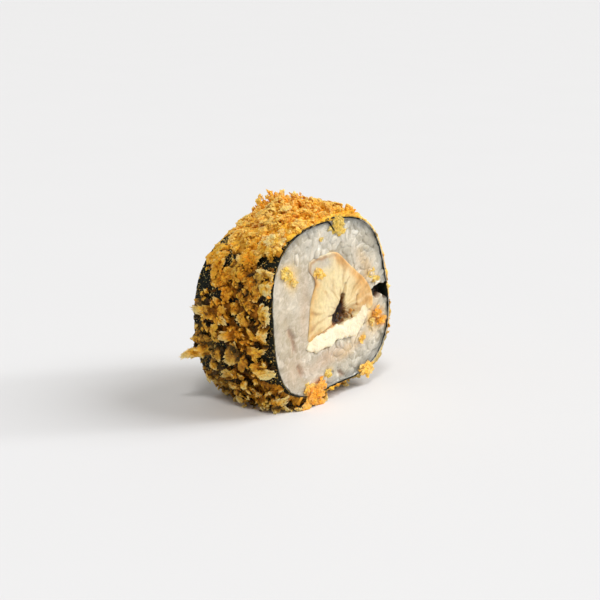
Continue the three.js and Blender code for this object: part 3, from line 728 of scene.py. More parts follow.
# Crevices in the rice on the near cut, pressed in and painted brown as the shade in them, each a route
# of places with its half width.
CREVICES = (
    (((-17.0, 23.4), (-15.9, 21.6), (-15.2, 17.8)), 0.8), (((-13.2, 12.6), (-12.0, 10.6)), 0.8),
    (((4.2, 7.4), (6.0, 6.0)), 0.6),
)
GRAIN_LENGTH, GRAIN_WIDTH, GRAIN_SPACING = 6.0, 2.8, 2.65
ROW_STEP, GRAIN_STRAY = 0.87, 0.35  # between rows, and how far a grain lies off its place, in spacings
LOWEST_ROW = 1.5
POCKET_DEPTH, CREVICE_DEPTH = 2.6, 0.5
UNDER_FILLING = 1.2  # the rice runs this far in under banana and cheese
GRAIN_JOIN, KNIFE_CUT = 7.0, 12.0  # sharpness of the soft maximum and of the soft minimum


def polar_outline(corners, angle, centre):
    """Distance from the centre to a closed outline at each angle, taken straight between its corners."""
    corner = np.array(corners) - centre
    at = np.arctan2(corner[:, 1], corner[:, 0])
    order = np.argsort(at)
    return np.interp(angle, at[order], np.hypot(*corner[order].T), period=2 * np.pi)


def filling_radius(angle):
    """Outline of banana and cheese together, from the filling's centre: the further of the two each way."""
    corner = np.array(CHEESE_BELOW) - FILLING_CENTRE
    at = np.unwrap(np.arctan2(corner[:, 1], corner[:, 0]) % (2 * np.pi))
    cheese = np.interp(angle % (2 * np.pi), at, np.hypot(*corner.T), left=0, right=0)
    return np.maximum(polar_outline(BANANA_OUTLINE, angle, FILLING_CENTRE), cheese)


def blot(x, z, middle, half, lean=0.0):
    """A soft oval mark: 1 in its middle, fading past its half sizes, turned by `lean` degrees."""
    c, s = np.cos(np.radians(lean)), np.sin(np.radians(lean))
    dx, dz = x - middle[0], z - middle[1]
    return np.exp(-(((c * dx + s * dz) / half[0]) ** 2) - ((c * dz - s * dx) / half[1]) ** 2)


def stroke(x, z, route, half):
    """A soft line along a route of places: 1 on it, fading past its half width."""
    nearest = np.full(np.shape(x), np.inf)
    for (x0, z0), (x1, z1) in zip(route, route[1:]):
        long_x, long_z = x1 - x0, z1 - z0
        share = np.clip(((x - x0) * long_x + (z - z0) * long_z) / (long_x**2 + long_z**2), 0, 1)
        nearest = np.minimum(nearest, np.hypot(x - x0 - share * long_x, z - z0 - share * long_z))
    return np.exp(-((nearest / half) ** 2))


def strayed(points, by, size, seed):
    """The x and z of points, each moved by up to `by` mm of its own noise."""
    return [points[..., k] + by * noise(points, size, seed + k // 2) for k in (0, 2)]


def in_pocket(points):
    """1 in the pocket beside the nori at the near cut, falling to 0 at its edge."""
    x, z = strayed(points, 0.5, 1.6, 54)
    deepest = np.max([1 - np.hypot((x - m[0]) / h[0], (z - m[1]) / h[1]) for m, h in RICE_POCKET], axis=0)
    return eased(deepest, -0.25, 0.2) * (points[..., 1] < 0)


def crevices(points):
    """1 on the crevices of the near cut, falling to 0 beside them and behind the cut."""
    x, z = strayed(points, 0.4, 1.5, 46)
    lines = np.max([stroke(x, z, route, half) for route, half in CREVICES], axis=0)
    return lines * (points[..., 1] < 0)


def rice_tone(points, milky):
    """Rice colour: clear starch with milky grain cores, and the marks of the near cut. Painted shade makes
    it greyer where the dark nori lies close behind, brown in the cut's crevices, brown to black in its
    pocket, and black in a ragged band along the nori's edge at the left."""
    x, z = strayed(points, 1.2, 4.0, 48)
    angle, lift = off_wrap(points)
    dim = np.maximum(eased(np.cos(angle), -0.6, 0.4), eased(np.sin(angle), 0.3, 0.8))
    # Painted shade: grey where the dark nori lies close behind the rice, most at the top and right.
    painted_nori_shade = eased(lift + 0.9 * noise(points, 2.2, 59), -3.2, -0.2) * towards(0.25, 0.75, dim)
    # Painted shade: a ragged black band along the nori's edge at the left.
    ragged = eased(lift + 0.3 * noise(points, 0.9, 63), -0.7, -0.25) * eased(-np.cos(angle), -0.1, 0.2)
    by_cut, pocket = towards(0.6, 1, points[..., 1] < 0), in_pocket(points)
    marks = [("milky", milky), ("grey", painted_nori_shade)]
    marks += [(c, s * blot(x, z, middle, half, lean) * by_cut) for c, s, middle, half, lean in RICE_MARKS]
    # Painted shade: the crevices brown and the band by the nori black, then the pocket brown to black.
    marks += [("brown", 0.5 * crevices(points)), ("black", 0.9 * ragged)]
    marks += [("brown", 1.2 * pocket), ("black", 1.6 * pocket - 0.5)]
    return marked(linear(RICE_COLOURS["clear"]) + 0 * points, RICE_COLOURS, marks)


def sushi_rice():
    """Cooked rice: moist and translucent, so light spreads a millimetre in it, under a wet, beaded film
    of starch. The beads are wide in x, because the view foreshortens it."""
    material, bsdf = new_finish(
        "sushi_rice", Roughness=0.42, IOR=1.36, Subsurface_Weight=0.85, Subsurface_Scale=0.0009,
        Subsurface_Radius=(1.0, 0.92, 0.78), Coat_Weight=0.9, Coat_Roughness=0.1, Coat_IOR=1.55,
    )
    place = toned(material, bsdf, 2.6, 4.0, (0.34, 0.66), (0.94, 1.05))
    skin = add(material, "TexNoise", inputs={"Vector": place, "Scale": per_mm(0.9), "Detail": 3.0})
    wide = add(material, "Mapping", inputs={"Vector": place, "Scale": (0.6, 1, 1)}).outputs["Vector"]
    film = add(material, "TexNoise", inputs={"Vector": wide, "Scale": per_mm(1.3), "Detail": 2.5})
    reliefs = (("Normal", skin, 0.3, 0.0003), ("Coat Normal", film, 1.0, 0.0016))
    for socket, pattern, strength, deep in reliefs:
        relief = {"Strength": strength, "Distance": deep, "Height": pattern.outputs["Fac"]}
        bump = add(material, "Bump", inputs=relief)
        material.node_tree.links.new(bump.outputs["Normal"], bsdf.inputs[socket])
    return material


def smeared(x, z, cut):
    """How far the knife smeared the rice: 1 at the left of the near cut, 0 at its right and along its top,
    half on the far cut."""
    return eased(-x, -4, 10) * eased(46 - z, 0, 8) if cut < 0 else 0.5 + 0 * x


def grain_spots(rng, cut):
    """A staggered grid over one cut, each spot moved at random, kept between the filling and the nori."""
    rows, columns = np.meshgrid(np.arange(24), np.arange(-11, 12), indexing="ij")
    stray_x, stray_z = (rng.uniform(-GRAIN_STRAY, GRAIN_STRAY, rows.shape) for _ in range(2))
    x = (columns + (rows % 2) / 2 + stray_x) * GRAIN_SPACING
    z = (rows * ROW_STEP + stray_z) * GRAIN_SPACING + LOWEST_ROW
    spots = np.stack([x.ravel(), np.full(x.size, cut), z.ravel()], -1)
    dx, dz = spots[:, 0] - FILLING_CENTRE[0], spots[:, 2] - FILLING_CENTRE[1]
    beyond = np.hypot(dx, dz) - filling_radius(np.arctan2(dz, dx))
    return spots[(beyond > 0.4) & (off_wrap(spots)[1] < -0.8) & (in_pocket(spots) < 0.4)]


def fused_grains(x, z, cut, seed):
    """Height of the sheared grains over the starch between them, how milky each place is, and pale films.

    Each grain is half an ellipsoid of random length, width, turn and depth, milky in its middle. The
    highest one shows, by a soft maximum, with pale films where two meet, and the knife takes the tops
    off, by a soft minimum.
    """
    rng = np.random.default_rng(seed)
    total = np.exp(GRAIN_JOIN * np.full(x.shape, -0.5))
    milky, best = np.zeros(x.shape), np.zeros(x.shape)
    for x0, _, z0 in grain_spots(rng, cut):
        turn, own = rng.uniform(0, np.pi), rng.uniform(0.1, 1.1)
        half_length = GRAIN_LENGTH / 2 * rng.uniform(0.6, 1.1)
        half_width = GRAIN_WIDTH / 2 * rng.uniform(0.9, 1.15)
        c, s = np.cos(turn), np.sin(turn)
        along = (c * (x - x0) + s * (z - z0)) / half_length
        across = (c * (z - z0) - s * (x - x0)) / half_width
        middle = np.maximum(0, 1 - along**2 - across**2)
        height = half_width * (np.sqrt(middle) - 1) + rng.uniform(0.0, 0.55)
        weight = np.exp(GRAIN_JOIN * np.where(middle > 0, height, -4))
        total, milky = total + weight, milky + weight * own * eased(middle, 0.05, 0.75)
        best = np.maximum(best, weight)
    top = np.log(total) / GRAIN_JOIN
    patches = eased(noise(np.stack([x, 0 * x, z], -1), 2.8, 50), -0.35, 0.3)
    film = eased(1 - best / total, 0.22, 0.46) * patches
    return -np.log(np.exp(-KNIFE_CUT * top) + 1) / KNIFE_CUT, 0.85 * milky / total, film


def packed_rice(around=560, rings=68, walls=6):
    """A ring-shaped solid closed both ways: over the near cut from filling to nori, along the nori, back
    over the far cut to the filling, and through the channel that the filling lies in.

    The cuts sink where they run in under the filling, and at the right they lap over the nori's own cut.
    Smeared rice is cloudy, crossed by pale lines along the ridges of the noise.
    """
    angle = np.linspace(0, 2 * np.pi, around, endpoint=False)
    outline = filling_radius(angle)
    least = np.min([np.roll(outline, k) for k in range(-24, 25)], axis=0)
    inner = np.mean([np.roll(least, k) for k in range(-16, 17)], axis=0)[None] - UNDER_FILLING

    def face(cut, seed):
        cx, cz = wrap_centre(cut)
        x_in, z_in = FILLING_CENTRE[0] + inner * np.cos(angle), FILLING_CENTRE[1] + inner * np.sin(angle)
        around_rim = np.arctan2(z_in - cz, x_in - cx)
        over = eased(np.cos(around_rim), 0.2, 0.6)
        rim = on_wrap(around_rim, cut, -NORI_THICKNESS / 2 + 0.05 + 0.3 * over)
        share = np.linspace(0, 1, rings)[:, None]
        x, z = towards(x_in, rim[..., 0], share), towards(z_in, rim[..., 2], share)
        spot = np.stack([x, np.full((rings, around), cut), z], -1)
        height, milky, film = fused_grains(*strayed(spot, 0.5, 1.5, 56), cut, seed)
        flat = smeared(x, z, cut)
        depth = -height * towards(0.75, 0.16, flat) + 0.1 * noise(spot, 3.0, 43) + 0.12
        depth = depth * (1 - 0.8 * eased(share, 0.94, 1.0)) - 0.32 * over * eased(share, 0.96, 0.99)
        depth = depth + CREVICE_DEPTH * crevices(spot) + POCKET_DEPTH * in_pocket(spot)
        beyond = np.hypot(x - FILLING_CENTRE[0], z - FILLING_CENTRE[1]) - outline
        depth = depth + 1.6 * eased(-beyond, 0.75, 1.2)
        wide = spot * [0.6, 1, 1]
        large, small = (eased(1 - np.abs(noise(wide, *kind)), 0.88, 1.0) for kind in ((3.2, 44), (1.7, 60)))
        cloud = 0.38 + 0.5 * noise(wide, 2.4, 45) + 0.25 * noise(wide, 1.2, 70) + 0.6 * large + 0.45 * small
        tone = rice_tone(spot, np.maximum(towards(milky, cloud, 0.3 + 0.35 * flat), 0.95 * film))
        spot[..., 1] = cut - np.sign(cut) * depth
        return spot, tone

    (near, near_tone), (far, far_tone) = face(NEAR_CUT, 51), face(FAR_CUT, 52)
    steps = np.linspace(0, 1, walls)[1:-1]
    side = np.array([towards(near[-1], far[-1], s) for s in steps])
    channel = np.array([towards(far[0], near[0], s) for s in steps])
    plain = linear(RICE_COLOURS["clear"])
    points = np.concatenate([near, side, far[::-1], channel])
    tone = np.concatenate([near_tone, 0 * side + plain, far_tone[::-1], 0 * channel + plain])
    return points, net(len(points), around, True, True), tone


rice_finish = sushi_rice()
points, triangles, tone = packed_rice()
make_piece("packed_rice", points, triangles, rice_finish, "rice", tone)

# --------------------------------------------------------------------------------------------- loose grains
# Whole grains that the knife pulled up instead of cutting, mostly at the right of the near cut. Each is
# plump, round-ended and slightly curved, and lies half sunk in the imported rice.

LOOSE_SHARE = 0.22  # of the grains' places where the rice isn't smeared


def loose_grains(cut, seed, around=18, down=12):
    """Ellipsoids curved along their length, turned at random in the cut and dipping a little into it."""
    rng = np.random.default_rng(seed)
    spots = grain_spots(rng, cut)
    deep = off_wrap(spots)[1] < -1.6
    share = LOOSE_SHARE * (1 - smeared(spots[:, 0], spots[:, 2], cut))
    spots = spots[deep & (rng.uniform(0, 1, len(spots)) < share)]
    count = len(spots)
    way = ball_points(around, down)
    length = GRAIN_LENGTH * rng.uniform(0.75, 1.0, count)
    width = GRAIN_WIDTH * rng.uniform(0.8, 1.0, count)
    grain = way[None] * np.stack([width, width * 0.85, length], -1)[:, None] / 2
    grain[..., 0] += 0.05 * grain[..., 2] ** 2 * rng.uniform(-1, 1, (count, 1))
    grain = grain * (1 + 0.05 * noise(grain + spots[:, None], 1.1, 58))[..., None]
    dip, turn = rng.uniform(-0.35, 0.35, (count, 1)), rng.uniform(0, np.pi, (count, 1))
    x, y, z = (grain[..., k] for k in range(3))
    y, z = y * np.cos(dip) - z * np.sin(dip), y * np.sin(dip) + z * np.cos(dip)
    x, z = x * np.cos(turn) + z * np.sin(turn), z * np.cos(turn) - x * np.sin(turn)
    points = np.stack([x, y, z], -1) + spots[:, None]
    points[..., 1] -= np.sign(cut) * rng.uniform(0.85, 1.2, (count, 1))
    angle, lift = off_wrap(points)
    kept = on_wrap(angle, points[..., 1], np.minimum(lift, -NORI_THICKNESS / 2 - 0.05))
    milky = rng.uniform(0.2, 1.0, (count, 1)) + 0.3 * noise(kept, 1.5, 53)
    return kept, join_many(grain, ball_net(around, down)), rice_tone(kept, milky)


for name, cut, seed in (("loose_grains_near", NEAR_CUT, 61), ("loose_grains_far", FAR_CUT, 62)):
    points, triangles, tone = loose_grains(cut, seed)
    make_piece(name, points, triangles, rice_finish, "rice", tone)

# ------------------------------------------------------------------------------------------------- banana
# A lump of ripe banana, warmed until it is soft. Its cut is pale cream-yellow, with fine fibres that run
# in to the dark seed core, an orange edge at the upper right and a clear, browned corner at the top left.

SEED_CORE = (5.0, 25.0)  # centre x and z of the dark hollow
HOLLOW_DEPTH, FOLD_DEPTH = 1.8, 0.35
CORE_ROUTE = ((5.4, 28.6), (4.6, 26.0), (4.2, 23.8), (3.8, 22.8))
BANANA_COLOURS = {
    "flesh": "e3cd98", "pale": "f0e0b4", "ripe": "d9983c", "clear": "cfc5ae", "amber": "c48f4a",
    "tan": "a87648", "brown": "7c4814", "seed": "2a1507",
}
# Marks on the cut, each with its colour, strength, middle, half sizes and lean in degrees.
BANANA_BLOTS = (
    ("pale", 0.7, (7.0, 34.5), (4.0, 3.5), -40), ("pale", 0.6, (0.5, 28.0), (3.0, 7.0), -12),
    ("amber", 0.75, (15.6, 25.4), (3.6, 2.4), 10), ("ripe", 0.55, (13.6, 29.2), (3.0, 4.2), 0),
    ("clear", 1.4, (-4.4, 39.0), (6.4, 2.6), 18), ("ripe", 0.45, (-6.6, 34.5), (1.6, 2.8), 0),
    ("brown", 0.75, (8.8, 23.4), (2.6, 1.7), 0), ("brown", 0.5, (3.2, 24.6), (2.4, 2.4), 0),
)
# Brown lines are folds, pressed in and painted brown as shade; the first lies on the seam above the cheese.
BANANA_LINES = (
    ("ripe", 0.65, ((1.8, 41.0), (8.2, 36.3), (14.2, 31.9), (18.2, 28.8), (18.8, 24.5)), 1.8),
    ("ripe", 0.45, ((-6.8, 34.4), (-8.4, 29.0), (-9.1, 22.5), (-9.1, 18.8)), 1.8),
    ("ripe", 0.7, ((-9.1, 18.8), (-3.2, 19.6), (2.6, 21.2)), 1.1),
    ("brown", 0.4, ((-6.5, 19.2), (2.6, 21.4)), 0.35),
    ("tan", 0.65, ((-6.4, 34.2), (-8.4, 37.6), (-8.2, 40.0), (-3.3, 41.0), (2.0, 40.9)), 0.42),
    ("brown", 0.5, ((12.0, 27.4), (11.4, 25.0)), 0.5), ("brown", 0.35, ((6.4, 31.6), (5.4, 29.0)), 0.5),
    ("brown", 0.4, ((-0.6, 23.8), (3.0, 24.0)), 0.3),
)


def soft_outline(corners, count):
    """A smooth closed curve through the corners: a Catmull-Rom spline sampled evenly in its parameter."""
    p = np.array(corners)
    t = np.linspace(0, len(p), count, endpoint=False)
    k, f = np.floor(t).astype(int), (t % 1)[:, None]
    a, b, c, d = (p[(k + step) % len(p)] for step in (-1, 0, 1, 2))
    return 0.5 * (2 * b + (c - a) * f + (2 * a - 5 * b + 4 * c - d) * f**2 + (3 * b - a - 3 * c + d) * f**3)


def seed_hollow(points):
    """1 in the dark core, a pointed wedge that widens downwards, falling to 0 a little past its edge."""
    x, z = points[..., 0] + 0.4 * noise(points, 1.3, 66), points[..., 2]
    half = towards(2.5, 0.6, np.clip((z - 23.4) / 4.8, 0, 1))
    return np.minimum(1, 1.25 * stroke(x, z, CORE_ROUTE, half))


def banana_tone(points):
    """Banana colour: cream flesh with radial fibres, the marks and lines of ripening, brown lines of
    painted shade in its folds, and the dark core.
    """
    x, z = strayed(points, 0.5, 2.0, 67)
    dx, dz = x - SEED_CORE[0], z - SEED_CORE[1]
    spin, away = np.arctan2(dz, dx), np.hypot(dx, dz)
    fibre = noise(np.stack([spin * 9, away * 0.25, 0 * spin], -1), 1.0, 61)
    marks = [(c, s * blot(x, z, middle, half, lean)) for c, s, middle, half, lean in BANANA_BLOTS]
    marks += [(c, s * stroke(x, z, route, half)) for c, s, route, half in BANANA_LINES]
    marks += [("ripe", 0.22 * eased(fibre, 0.1, 0.8)), ("pale", 0.35 * eased(-fibre, 0.1, 0.8))]
    core = seed_hollow(points)
    marks += [("brown", eased(core + 0.3 * fibre, 0.02, 0.6)), ("seed", eased(core, 0.45, 0.95))]
    return marked(linear(BANANA_COLOURS["flesh"]) + 0 * points, BANANA_COLOURS, marks)


def ripe_banana():
    """Soft ripe banana: dense and moist, so it glows a little, with a smooth, wet cut."""
    material, bsdf = new_finish(
        "ripe_banana", Roughness=0.38, IOR=1.4, Subsurface_Weight=0.6, Subsurface_Scale=0.0009,
        Subsurface_Radius=(1.0, 0.75, 0.4),
    )
    toned(material, bsdf, 0.9, 6.0, (0.3, 0.7), (0.9, 1.08), 0.4)
    return material


def banana_lump(around=420, rings=112, walls=8):
    """Closed at a pole in each cut: rings grow from the seed core to the outline, run along the slice and
    shrink back to the core. The cuts swell slightly, with hollow, fold and fine fibres pressed in."""
    outline = soft_outline(BANANA_OUTLINE, around)

    def face(cut):
        share = np.linspace(0, 1, rings)[1:, None]
        x = towards(SEED_CORE[0], outline[:, 0], share)
        z = towards(SEED_CORE[1], outline[:, 1], share)
        spot = np.stack([x, np.full(x.shape, cut), z], -1)
        spin = np.arctan2(z - SEED_CORE[1], x - SEED_CORE[0])
        fibres = noise(np.stack([spin * 8, share * 1.5 + 0 * x, 0 * x], -1), 1.0, 64)
        relief = 0.09 * fibres * share + 0.18 * noise(spot, 3.0, 65) + 0.04 * noise(spot, 0.8, 69)
        relief = relief + 0.1 - 0.12 * eased(share, 0.96, 1) - HOLLOW_DEPTH * seed_hollow(spot) ** 1.5
        lines = [stroke(x, z, route, half) for c, _, route, half in BANANA_LINES if c == "brown"]
        relief = relief - FOLD_DEPTH * np.max(lines, axis=0) - 0.3 * blot(x, z, (-4.4, 38.6), (4.2, 2.1))
        spot[..., 1] = cut + np.sign(cut) * relief
        return spot

    near, far = face(NEAR_CUT), face(FAR_CUT)
    side = np.array([towards(near[-1], far[-1], s) for s in np.linspace(0, 1, walls)[1:-1]])
    points = np.concatenate([near, side, far[::-1]])
    rows = len(points)
    points = np.concatenate([near[:1].mean(1), points.reshape(-1, 3), far[:1].mean(1)])
    return points, ball_net(around, rows + 1), banana_tone(points)


banana_finish = ripe_banana()
points, triangles, tone = banana_lump()
make_piece("banana_lump", points, triangles, banana_finish, "banana", tone)

# ------------------------------------------------------------------------------------------ banana seeds
# Soft brown seeds and pulp left wet at the right of the core, each a millimetre or two long.

# centre x and z, length and how pale, from 0 for the seed colour to 1 for amber
SEEDS = (
    (7.2, 22.6, 1.9, 0.5), (8.6, 23.4, 2.1, 0.9), (10.2, 23.4, 1.7, 0.6), (9.2, 22.2, 1.6, 0.3),
    (6.4, 23.9, 1.3, 0.2), (7.6, 24.6, 1.2, 0.7), (11.2, 24.4, 1.2, 0.8), (4.9, 22.3, 1.2, 0.0),
    (3.4, 23.3, 1.3, 0.0),
)


SEED_SINK = 0.35  # how far the seeds' middles lie behind the near cut


def banana_seeds(around=16, down=10):
    """Torn lumps seated in the hollow beside the core, just behind the near cut."""
    rng = np.random.default_rng(91)
    x, z, length, pale = np.array(SEEDS).T
    shape, out = torn_flakes(rng, len(x), around, down, length * 0.9, 0.8, 0.6)
    shape = lay_down(shape, np.zeros(len(x)), rng.uniform(0, 2 * np.pi, len(x)), rng.uniform(-1, 1, len(x)))
    points = shape + np.stack([x, np.full(len(x), NEAR_CUT + SEED_SINK), z], -1)[:, None]
    share = (pale[:, None] + 0.3 * out)[..., None]
    tone = towards(linear(BANANA_COLOURS["seed"]), linear(BANANA_COLOURS["amber"]), share)
    return points, join_many(shape, ball_net(around, down)), np.clip(tone, 0.002, 1)


points, triangles, tone = banana_seeds()
make_piece("banana_seeds", points, triangles, banana_finish, "banana", tone)

# ------------------------------------------------------------------------------------------- cream cheese
# A strip of firm cream cheese under the banana. The knife drags it a little, so its cut is matt and
# slightly torn, and its edges are uneven where rice and banana press into it.

CHEESE_ABOVE = (
    (-10.2, 16.8), (-9.2, 18.4), (-6.0, 19.1), (-3.2, 19.6), (0.1, 20.2), (4.1, 21.0), (8.5, 21.2),
    (11.2, 21.8), (12.2, 24.3), (15.9, 24.1), (16.8, 22.6),
)
CHEESE_MIDDLE = 2.4  # x that the rings on the cuts draw in towards
CHEESE_COLOURS = {"curd": "f6ebcc", "edge": "dcc59c"}


def cream_cheese():
    """Firm cream cheese: dense and opaque off-white, with a matt, finely grainy cut."""
    material, bsdf = new_finish(
        "cream_cheese", Roughness=0.5, IOR=1.4, Subsurface_Weight=0.5, Subsurface_Scale=0.001,
        Subsurface_Radius=(1.0, 0.8, 0.5),
    )
    toned(material, bsdf, 0.6, 5.0, (0.3, 0.7), (0.94, 1.05), 0.5)
    return material


def cheese_strip(half_around=150, rings=16, along=30):
    """Rings grow from the strip's middle line to its outline on the near cut, run along the slice and
    shrink back on the far cut, with torn, dragged relief. A strip of triangles closes each middle line."""
    (left, _), (right, _) = CHEESE_BELOW[0], CHEESE_BELOW[-1]
    swing = (right - left) / 2 * np.cos(np.linspace(0, np.pi, half_around, endpoint=False))
    x = (left + right) / 2 + np.concatenate([-swing, swing])
    below, above = np.interp(x, *np.array(CHEESE_BELOW).T), np.interp(x, *np.array(CHEESE_ABOVE).T)
    is_below = np.arange(2 * half_around) < half_around
    edge, middle = np.where(is_below, below, above), (below + above) / 2
    growth = np.linspace(0.03, 1, rings)

    def ring(y, grown):
        spot = np.stack([x, np.full(x.shape, 1.0) * y, edge], -1)
        ragged = 0.8 * noise(spot, 2.4, 71) + 0.4 * noise(spot, 0.8, 72)
        z = towards(middle, edge + ragged * (above - below) / 5, grown)
        z = z + 0.5 * np.sin(y / 6) - 0.5 * np.sin(NEAR_CUT / 6)
        return np.stack([towards(CHEESE_MIDDLE, x, 0.94 + 0.06 * grown), spot[:, 1], z], -1)

    def face(cut):
        rows = np.array([ring(cut, grown) for grown in growth])
        torn = 0.16 * noise(rows, 2.2, 73) + 0.07 * noise(rows, 0.6, 74)
        rows[..., 1] = cut - np.sign(cut) * (0.3 * growth[:, None] ** 6 - 0.2 - torn)
        return rows

    near, far = face(NEAR_CUT), face(FAR_CUT)
    sides = np.array([ring(y, 1.0) for y in np.linspace(NEAR_CUT + 1, FAR_CUT - 1, along)])
    points = np.concatenate([near, sides, far[::-1]])
    around = 2 * half_around
    pairs = np.arange(half_around)
    cap = np.concatenate([
        np.stack([pairs, -pairs % around, (-pairs - 1) % around], -1),
        np.stack([pairs, (-pairs - 1) % around, pairs + 1], -1),
    ])
    cap = cap[(cap[:, 0] != cap[:, 1]) & (cap[:, 1] != cap[:, 2])]
    walls = net(len(points), around, closed_columns=True)
    mesh = np.concatenate([walls, cap, cap[:, ::-1] + (len(points) - 1) * around])
    by_edge = np.concatenate([growth**5, np.ones(along), growth[::-1] ** 5])
    mottled = 0.8 * by_edge[:, None] + 0.5 * noise(points, 1.6, 75) + 0.5 * eased(points[..., 0], 8, 15)
    marks = [("edge", 0.7 * np.clip(mottled, 0, 1))]
    return points, mesh, marked(linear(CHEESE_COLOURS["curd"]), CHEESE_COLOURS, marks)


points, triangles, tone = cheese_strip()
make_piece("cheese_strip", points, triangles, cream_cheese(), "cream_cheese", tone)

# ------------------------------------------------------------------------------------- crumbs on the cut
# Golden crumbs that the knife tore from the crust and dragged over the near cut. They lie pressed into
# rice and banana and are caught on the rim of the nori.

# centre x and z, half height, how many small bits, and how orange from 0 to 1, or how olive below 0
CUT_CRUMBS = (
    (-18.6, 39.8, 0.9, 24, -0.05), (-17.0, 38.2, 0.9, 22, 0.0), (-15.6, 36.4, 0.9, 18, 0.05),
    (-5.6, 37.4, 1.1, 26, 0.1), (-4.4, 36.0, 0.8, 12, 0.1), (20.6, 20.6, 1.1, 18, 0.6),
    (23.2, 17.8, 1.2, 18, 0.6), (19.0, 18.4, 0.8, 10, 0.1), (14.6, 14.4, 0.8, 10, 0.2),
    (-0.8, 7.8, 0.9, 14, -0.1), (3.2, 49.4, 1.6, 20, -0.4), (4.6, 46.8, 1.2, 18, 0.0),
    (16.4, 4.8, 1.7, 24, 0.3), (-9.0, 5.6, 1.3, 24, 0.1), (-7.0, 3.4, 1.9, 34, 0.65),
    (-4.6, 5.2, 1.5, 26, 0.6), (-9.2, 1.6, 1.5, 24, 0.4), (-5.4, 1.2, 1.3, 20, 0.6),
    (-4.2, 45.9, 0.5, 4, 0.0), (18.2, 32.4, 1.0, 12, 0.0), (19.6, 30.8, 0.8, 8, 0.0),
)
CRUMB_STRETCH, GROUP_STRETCH = 1.25, 1.5  # in x, which the view foreshortens
CUT_COLOURS = {"yellow": "ffcc4e", "pale": "ffe69c", "orange": "ff9a0c", "olive": "b09a48"}


def cut_crumbs(each, sizes, spread, around, down, seed):
    """Torn crumbs lying flat on the near cut round the listed places, painted paler towards their edges
    as light through them. The orange ones stand out further.

    `each` is how many lie at each place. Sizes and spread are shares of the place's half height.
    """
    rng = np.random.default_rng(seed)
    x0, z0, half, _, orange = np.repeat(np.array(CUT_CRUMBS), each, axis=0).T
    count = len(x0)
    shape, edge = torn_flakes(rng, count, around, down, half * rng.uniform(*sizes, count), 0.8, 0.3)
    spin = rng.uniform(0, 2 * np.pi, (count, 1))
    c, s = np.cos(spin), np.sin(spin)
    across = CRUMB_STRETCH * (c * shape[..., 0] - s * shape[..., 1])
    up = s * shape[..., 0] + c * shape[..., 1]
    off = rng.normal(size=(2, count)) * half * spread
    proud = rng.uniform(-0.2, 0.2, count) + 0.6 * np.maximum(orange, 0)
    y = NEAR_CUT + 0.05 - proud[:, None] - shape[..., 2]
    x = x0[:, None] + GROUP_STRETCH * off[0][:, None] + across
    points = np.stack([x, y, (z0 + off[1])[:, None] + up], -1)
    points[..., 2] = np.maximum(points[..., 2], CLEAR_OF_FLOOR)
    # Painted light: paler towards the thin edges, where light shows through; the noise is their own.
    pale = 0.25 + 0.35 * edge + 0.5 * noise(points, 0.8, 83) + rng.normal(0, 0.1, (count, 1))
    tint = orange[:, None] * (1.25 - 0.4 * pale)
    marks = [("pale", pale), ("orange", tint), ("olive", -tint)]
    tone = marked(linear(CUT_COLOURS["yellow"]), CUT_COLOURS, marks)
    return points, join_many(shape, ball_net(around, down)), tone


CUT_KINDS = (
    # name, how many at each place, least and greatest size, spread, points round, points down, seed
    ("cut_lumps", 3, (1.2, 2.0), 0.35, 26, 13, 81),
    ("cut_bits", [row[3] for row in CUT_CRUMBS], (0.4, 0.95), 0.47, 10, 7, 82),
)
for name, *kind in CUT_KINDS:
    points, triangles, tone = cut_crumbs(*kind)
    make_piece(name, points, triangles, crumb_finish, "crumbed_nori", tone, smooth=False)

# -------------------------------------------------------------------------------------- floor and light
# A plain pale table top that runs out of view, under soft studio light from the front right and overhead.

FLOOR_COLOUR = "dcdde0"
FLOOR_HALF = 6000.0  # mm, past where the view ends
LIGHTS = (
    # name, direction towards it, spread in degrees, strength, colour
    ("window", (0.50, -0.50, 0.71), 34, 2.0, (0.98, 0.99, 1)),
    ("lamp", (0.70, -0.60, 0.38), 10, 0.75, (1, 1, 1)),
    ("bounce", (-0.34, -0.30, 0.89), 14, 1.17, (1, 0.97, 0.92)),
)
ROOM_LIGHT = (1, 0.965, 0.905, 1)
ROOM_STRENGTH = 0.4


def pale_table():
    """Smooth painted board: matt off-white with the faintest mottling."""
    material, bsdf = new_finish("pale_table", Roughness=0.7)
    place = add(material, "TexCoord").outputs["Object"]
    mottle = add(material, "TexNoise", inputs={"Vector": place, "Scale": per_mm(60), "Detail": 2.0})
    mixed = add(material, "Mix", {"data_type": "RGBA"}, {0: mottle.outputs["Fac"]})
    mixed.inputs[6].default_value = (*linear(FLOOR_COLOUR) * 0.985, 1)
    mixed.inputs[7].default_value = (*linear(FLOOR_COLOUR), 1)
    material.node_tree.links.new(mixed.outputs[2], bsdf.inputs["Base Color"])
    return material


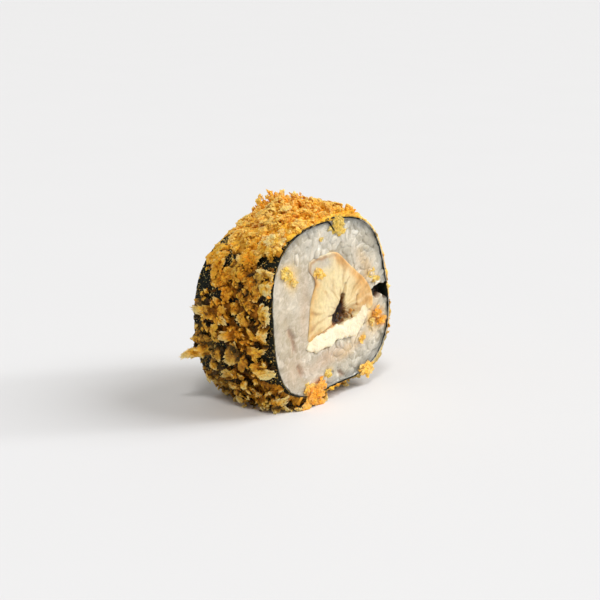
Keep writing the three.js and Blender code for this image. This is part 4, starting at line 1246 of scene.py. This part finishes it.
def make_floor():
    """A flat square at the height that the slice stands on."""
    mesh = bpy.data.meshes.new("floor")
    half = FLOOR_HALF / 1000
    corners = [(-half, -half, 0), (half, -half, 0), (half, half, 0), (-half, half, 0)]
    mesh.from_pydata(corners, [], [(0, 1, 2, 3)])
    mesh.materials.append(pale_table())
    floor = bpy.data.objects.new("floor", mesh)
    bpy.context.scene.collection.objects.link(floor)


def sun_light(name, towards_light, spread, power, colour):
    """Light that comes evenly from round one direction; the spread in degrees softens its shadows."""
    light = bpy.data.lights.new(name, "SUN")
    light.angle, light.energy, light.color = np.radians(spread), power, colour
    lamp = bpy.data.objects.new(name, light)
    bpy.context.scene.collection.objects.link(lamp)
    x, y, z = towards_light
    lamp.rotation_euler = (np.arctan2(np.hypot(x, y), z), 0, np.arctan2(x, -y))


make_floor()
for light in LIGHTS:
    sun_light(*light)
world = bpy.data.worlds.new("studio")
world.use_nodes = True
world.node_tree.nodes["Background"].inputs["Color"].default_value = ROOM_LIGHT
world.node_tree.nodes["Background"].inputs["Strength"].default_value = ROOM_STRENGTH
bpy.context.scene.world = world
bpy.context.scene.view_settings.view_transform = "Standard"

# ------------------------------------------------------------------------------------------------ camera
# The photograph's view: from the front left, 15 degrees up, with a short telephoto lens.

CAMERA_TURN, CAMERA_RISE = 50.0, 15.0  # degrees left of the near cut, and above the table
CAMERA_DISTANCE = 375.0
CAMERA_TARGET = (1.41, -1.61, 26.17)
CAMERA_LENS, SENSOR_WIDTH = 81.0, 36.0
CAMERA_CLIP = (0.01, 20.0)  # metres

turn, rise = np.radians([CAMERA_TURN, CAMERA_RISE])
aim = np.array([CAMERA_TARGET[0] + SHIFT, *CAMERA_TARGET[1:]])
away = np.array([-np.sin(turn) * np.cos(rise), -np.cos(turn) * np.cos(rise), np.sin(rise)])
camera = bpy.data.objects.new("camera", bpy.data.cameras.new("camera"))
camera.data.lens, camera.data.sensor_width = CAMERA_LENS, SENSOR_WIDTH
camera.data.clip_start, camera.data.clip_end = CAMERA_CLIP
camera.location = (aim + away * CAMERA_DISTANCE) / 1000
camera.rotation_euler = (np.pi / 2 - rise, 0, -turn)
bpy.context.scene.collection.objects.link(camera)
bpy.context.scene.camera = camera
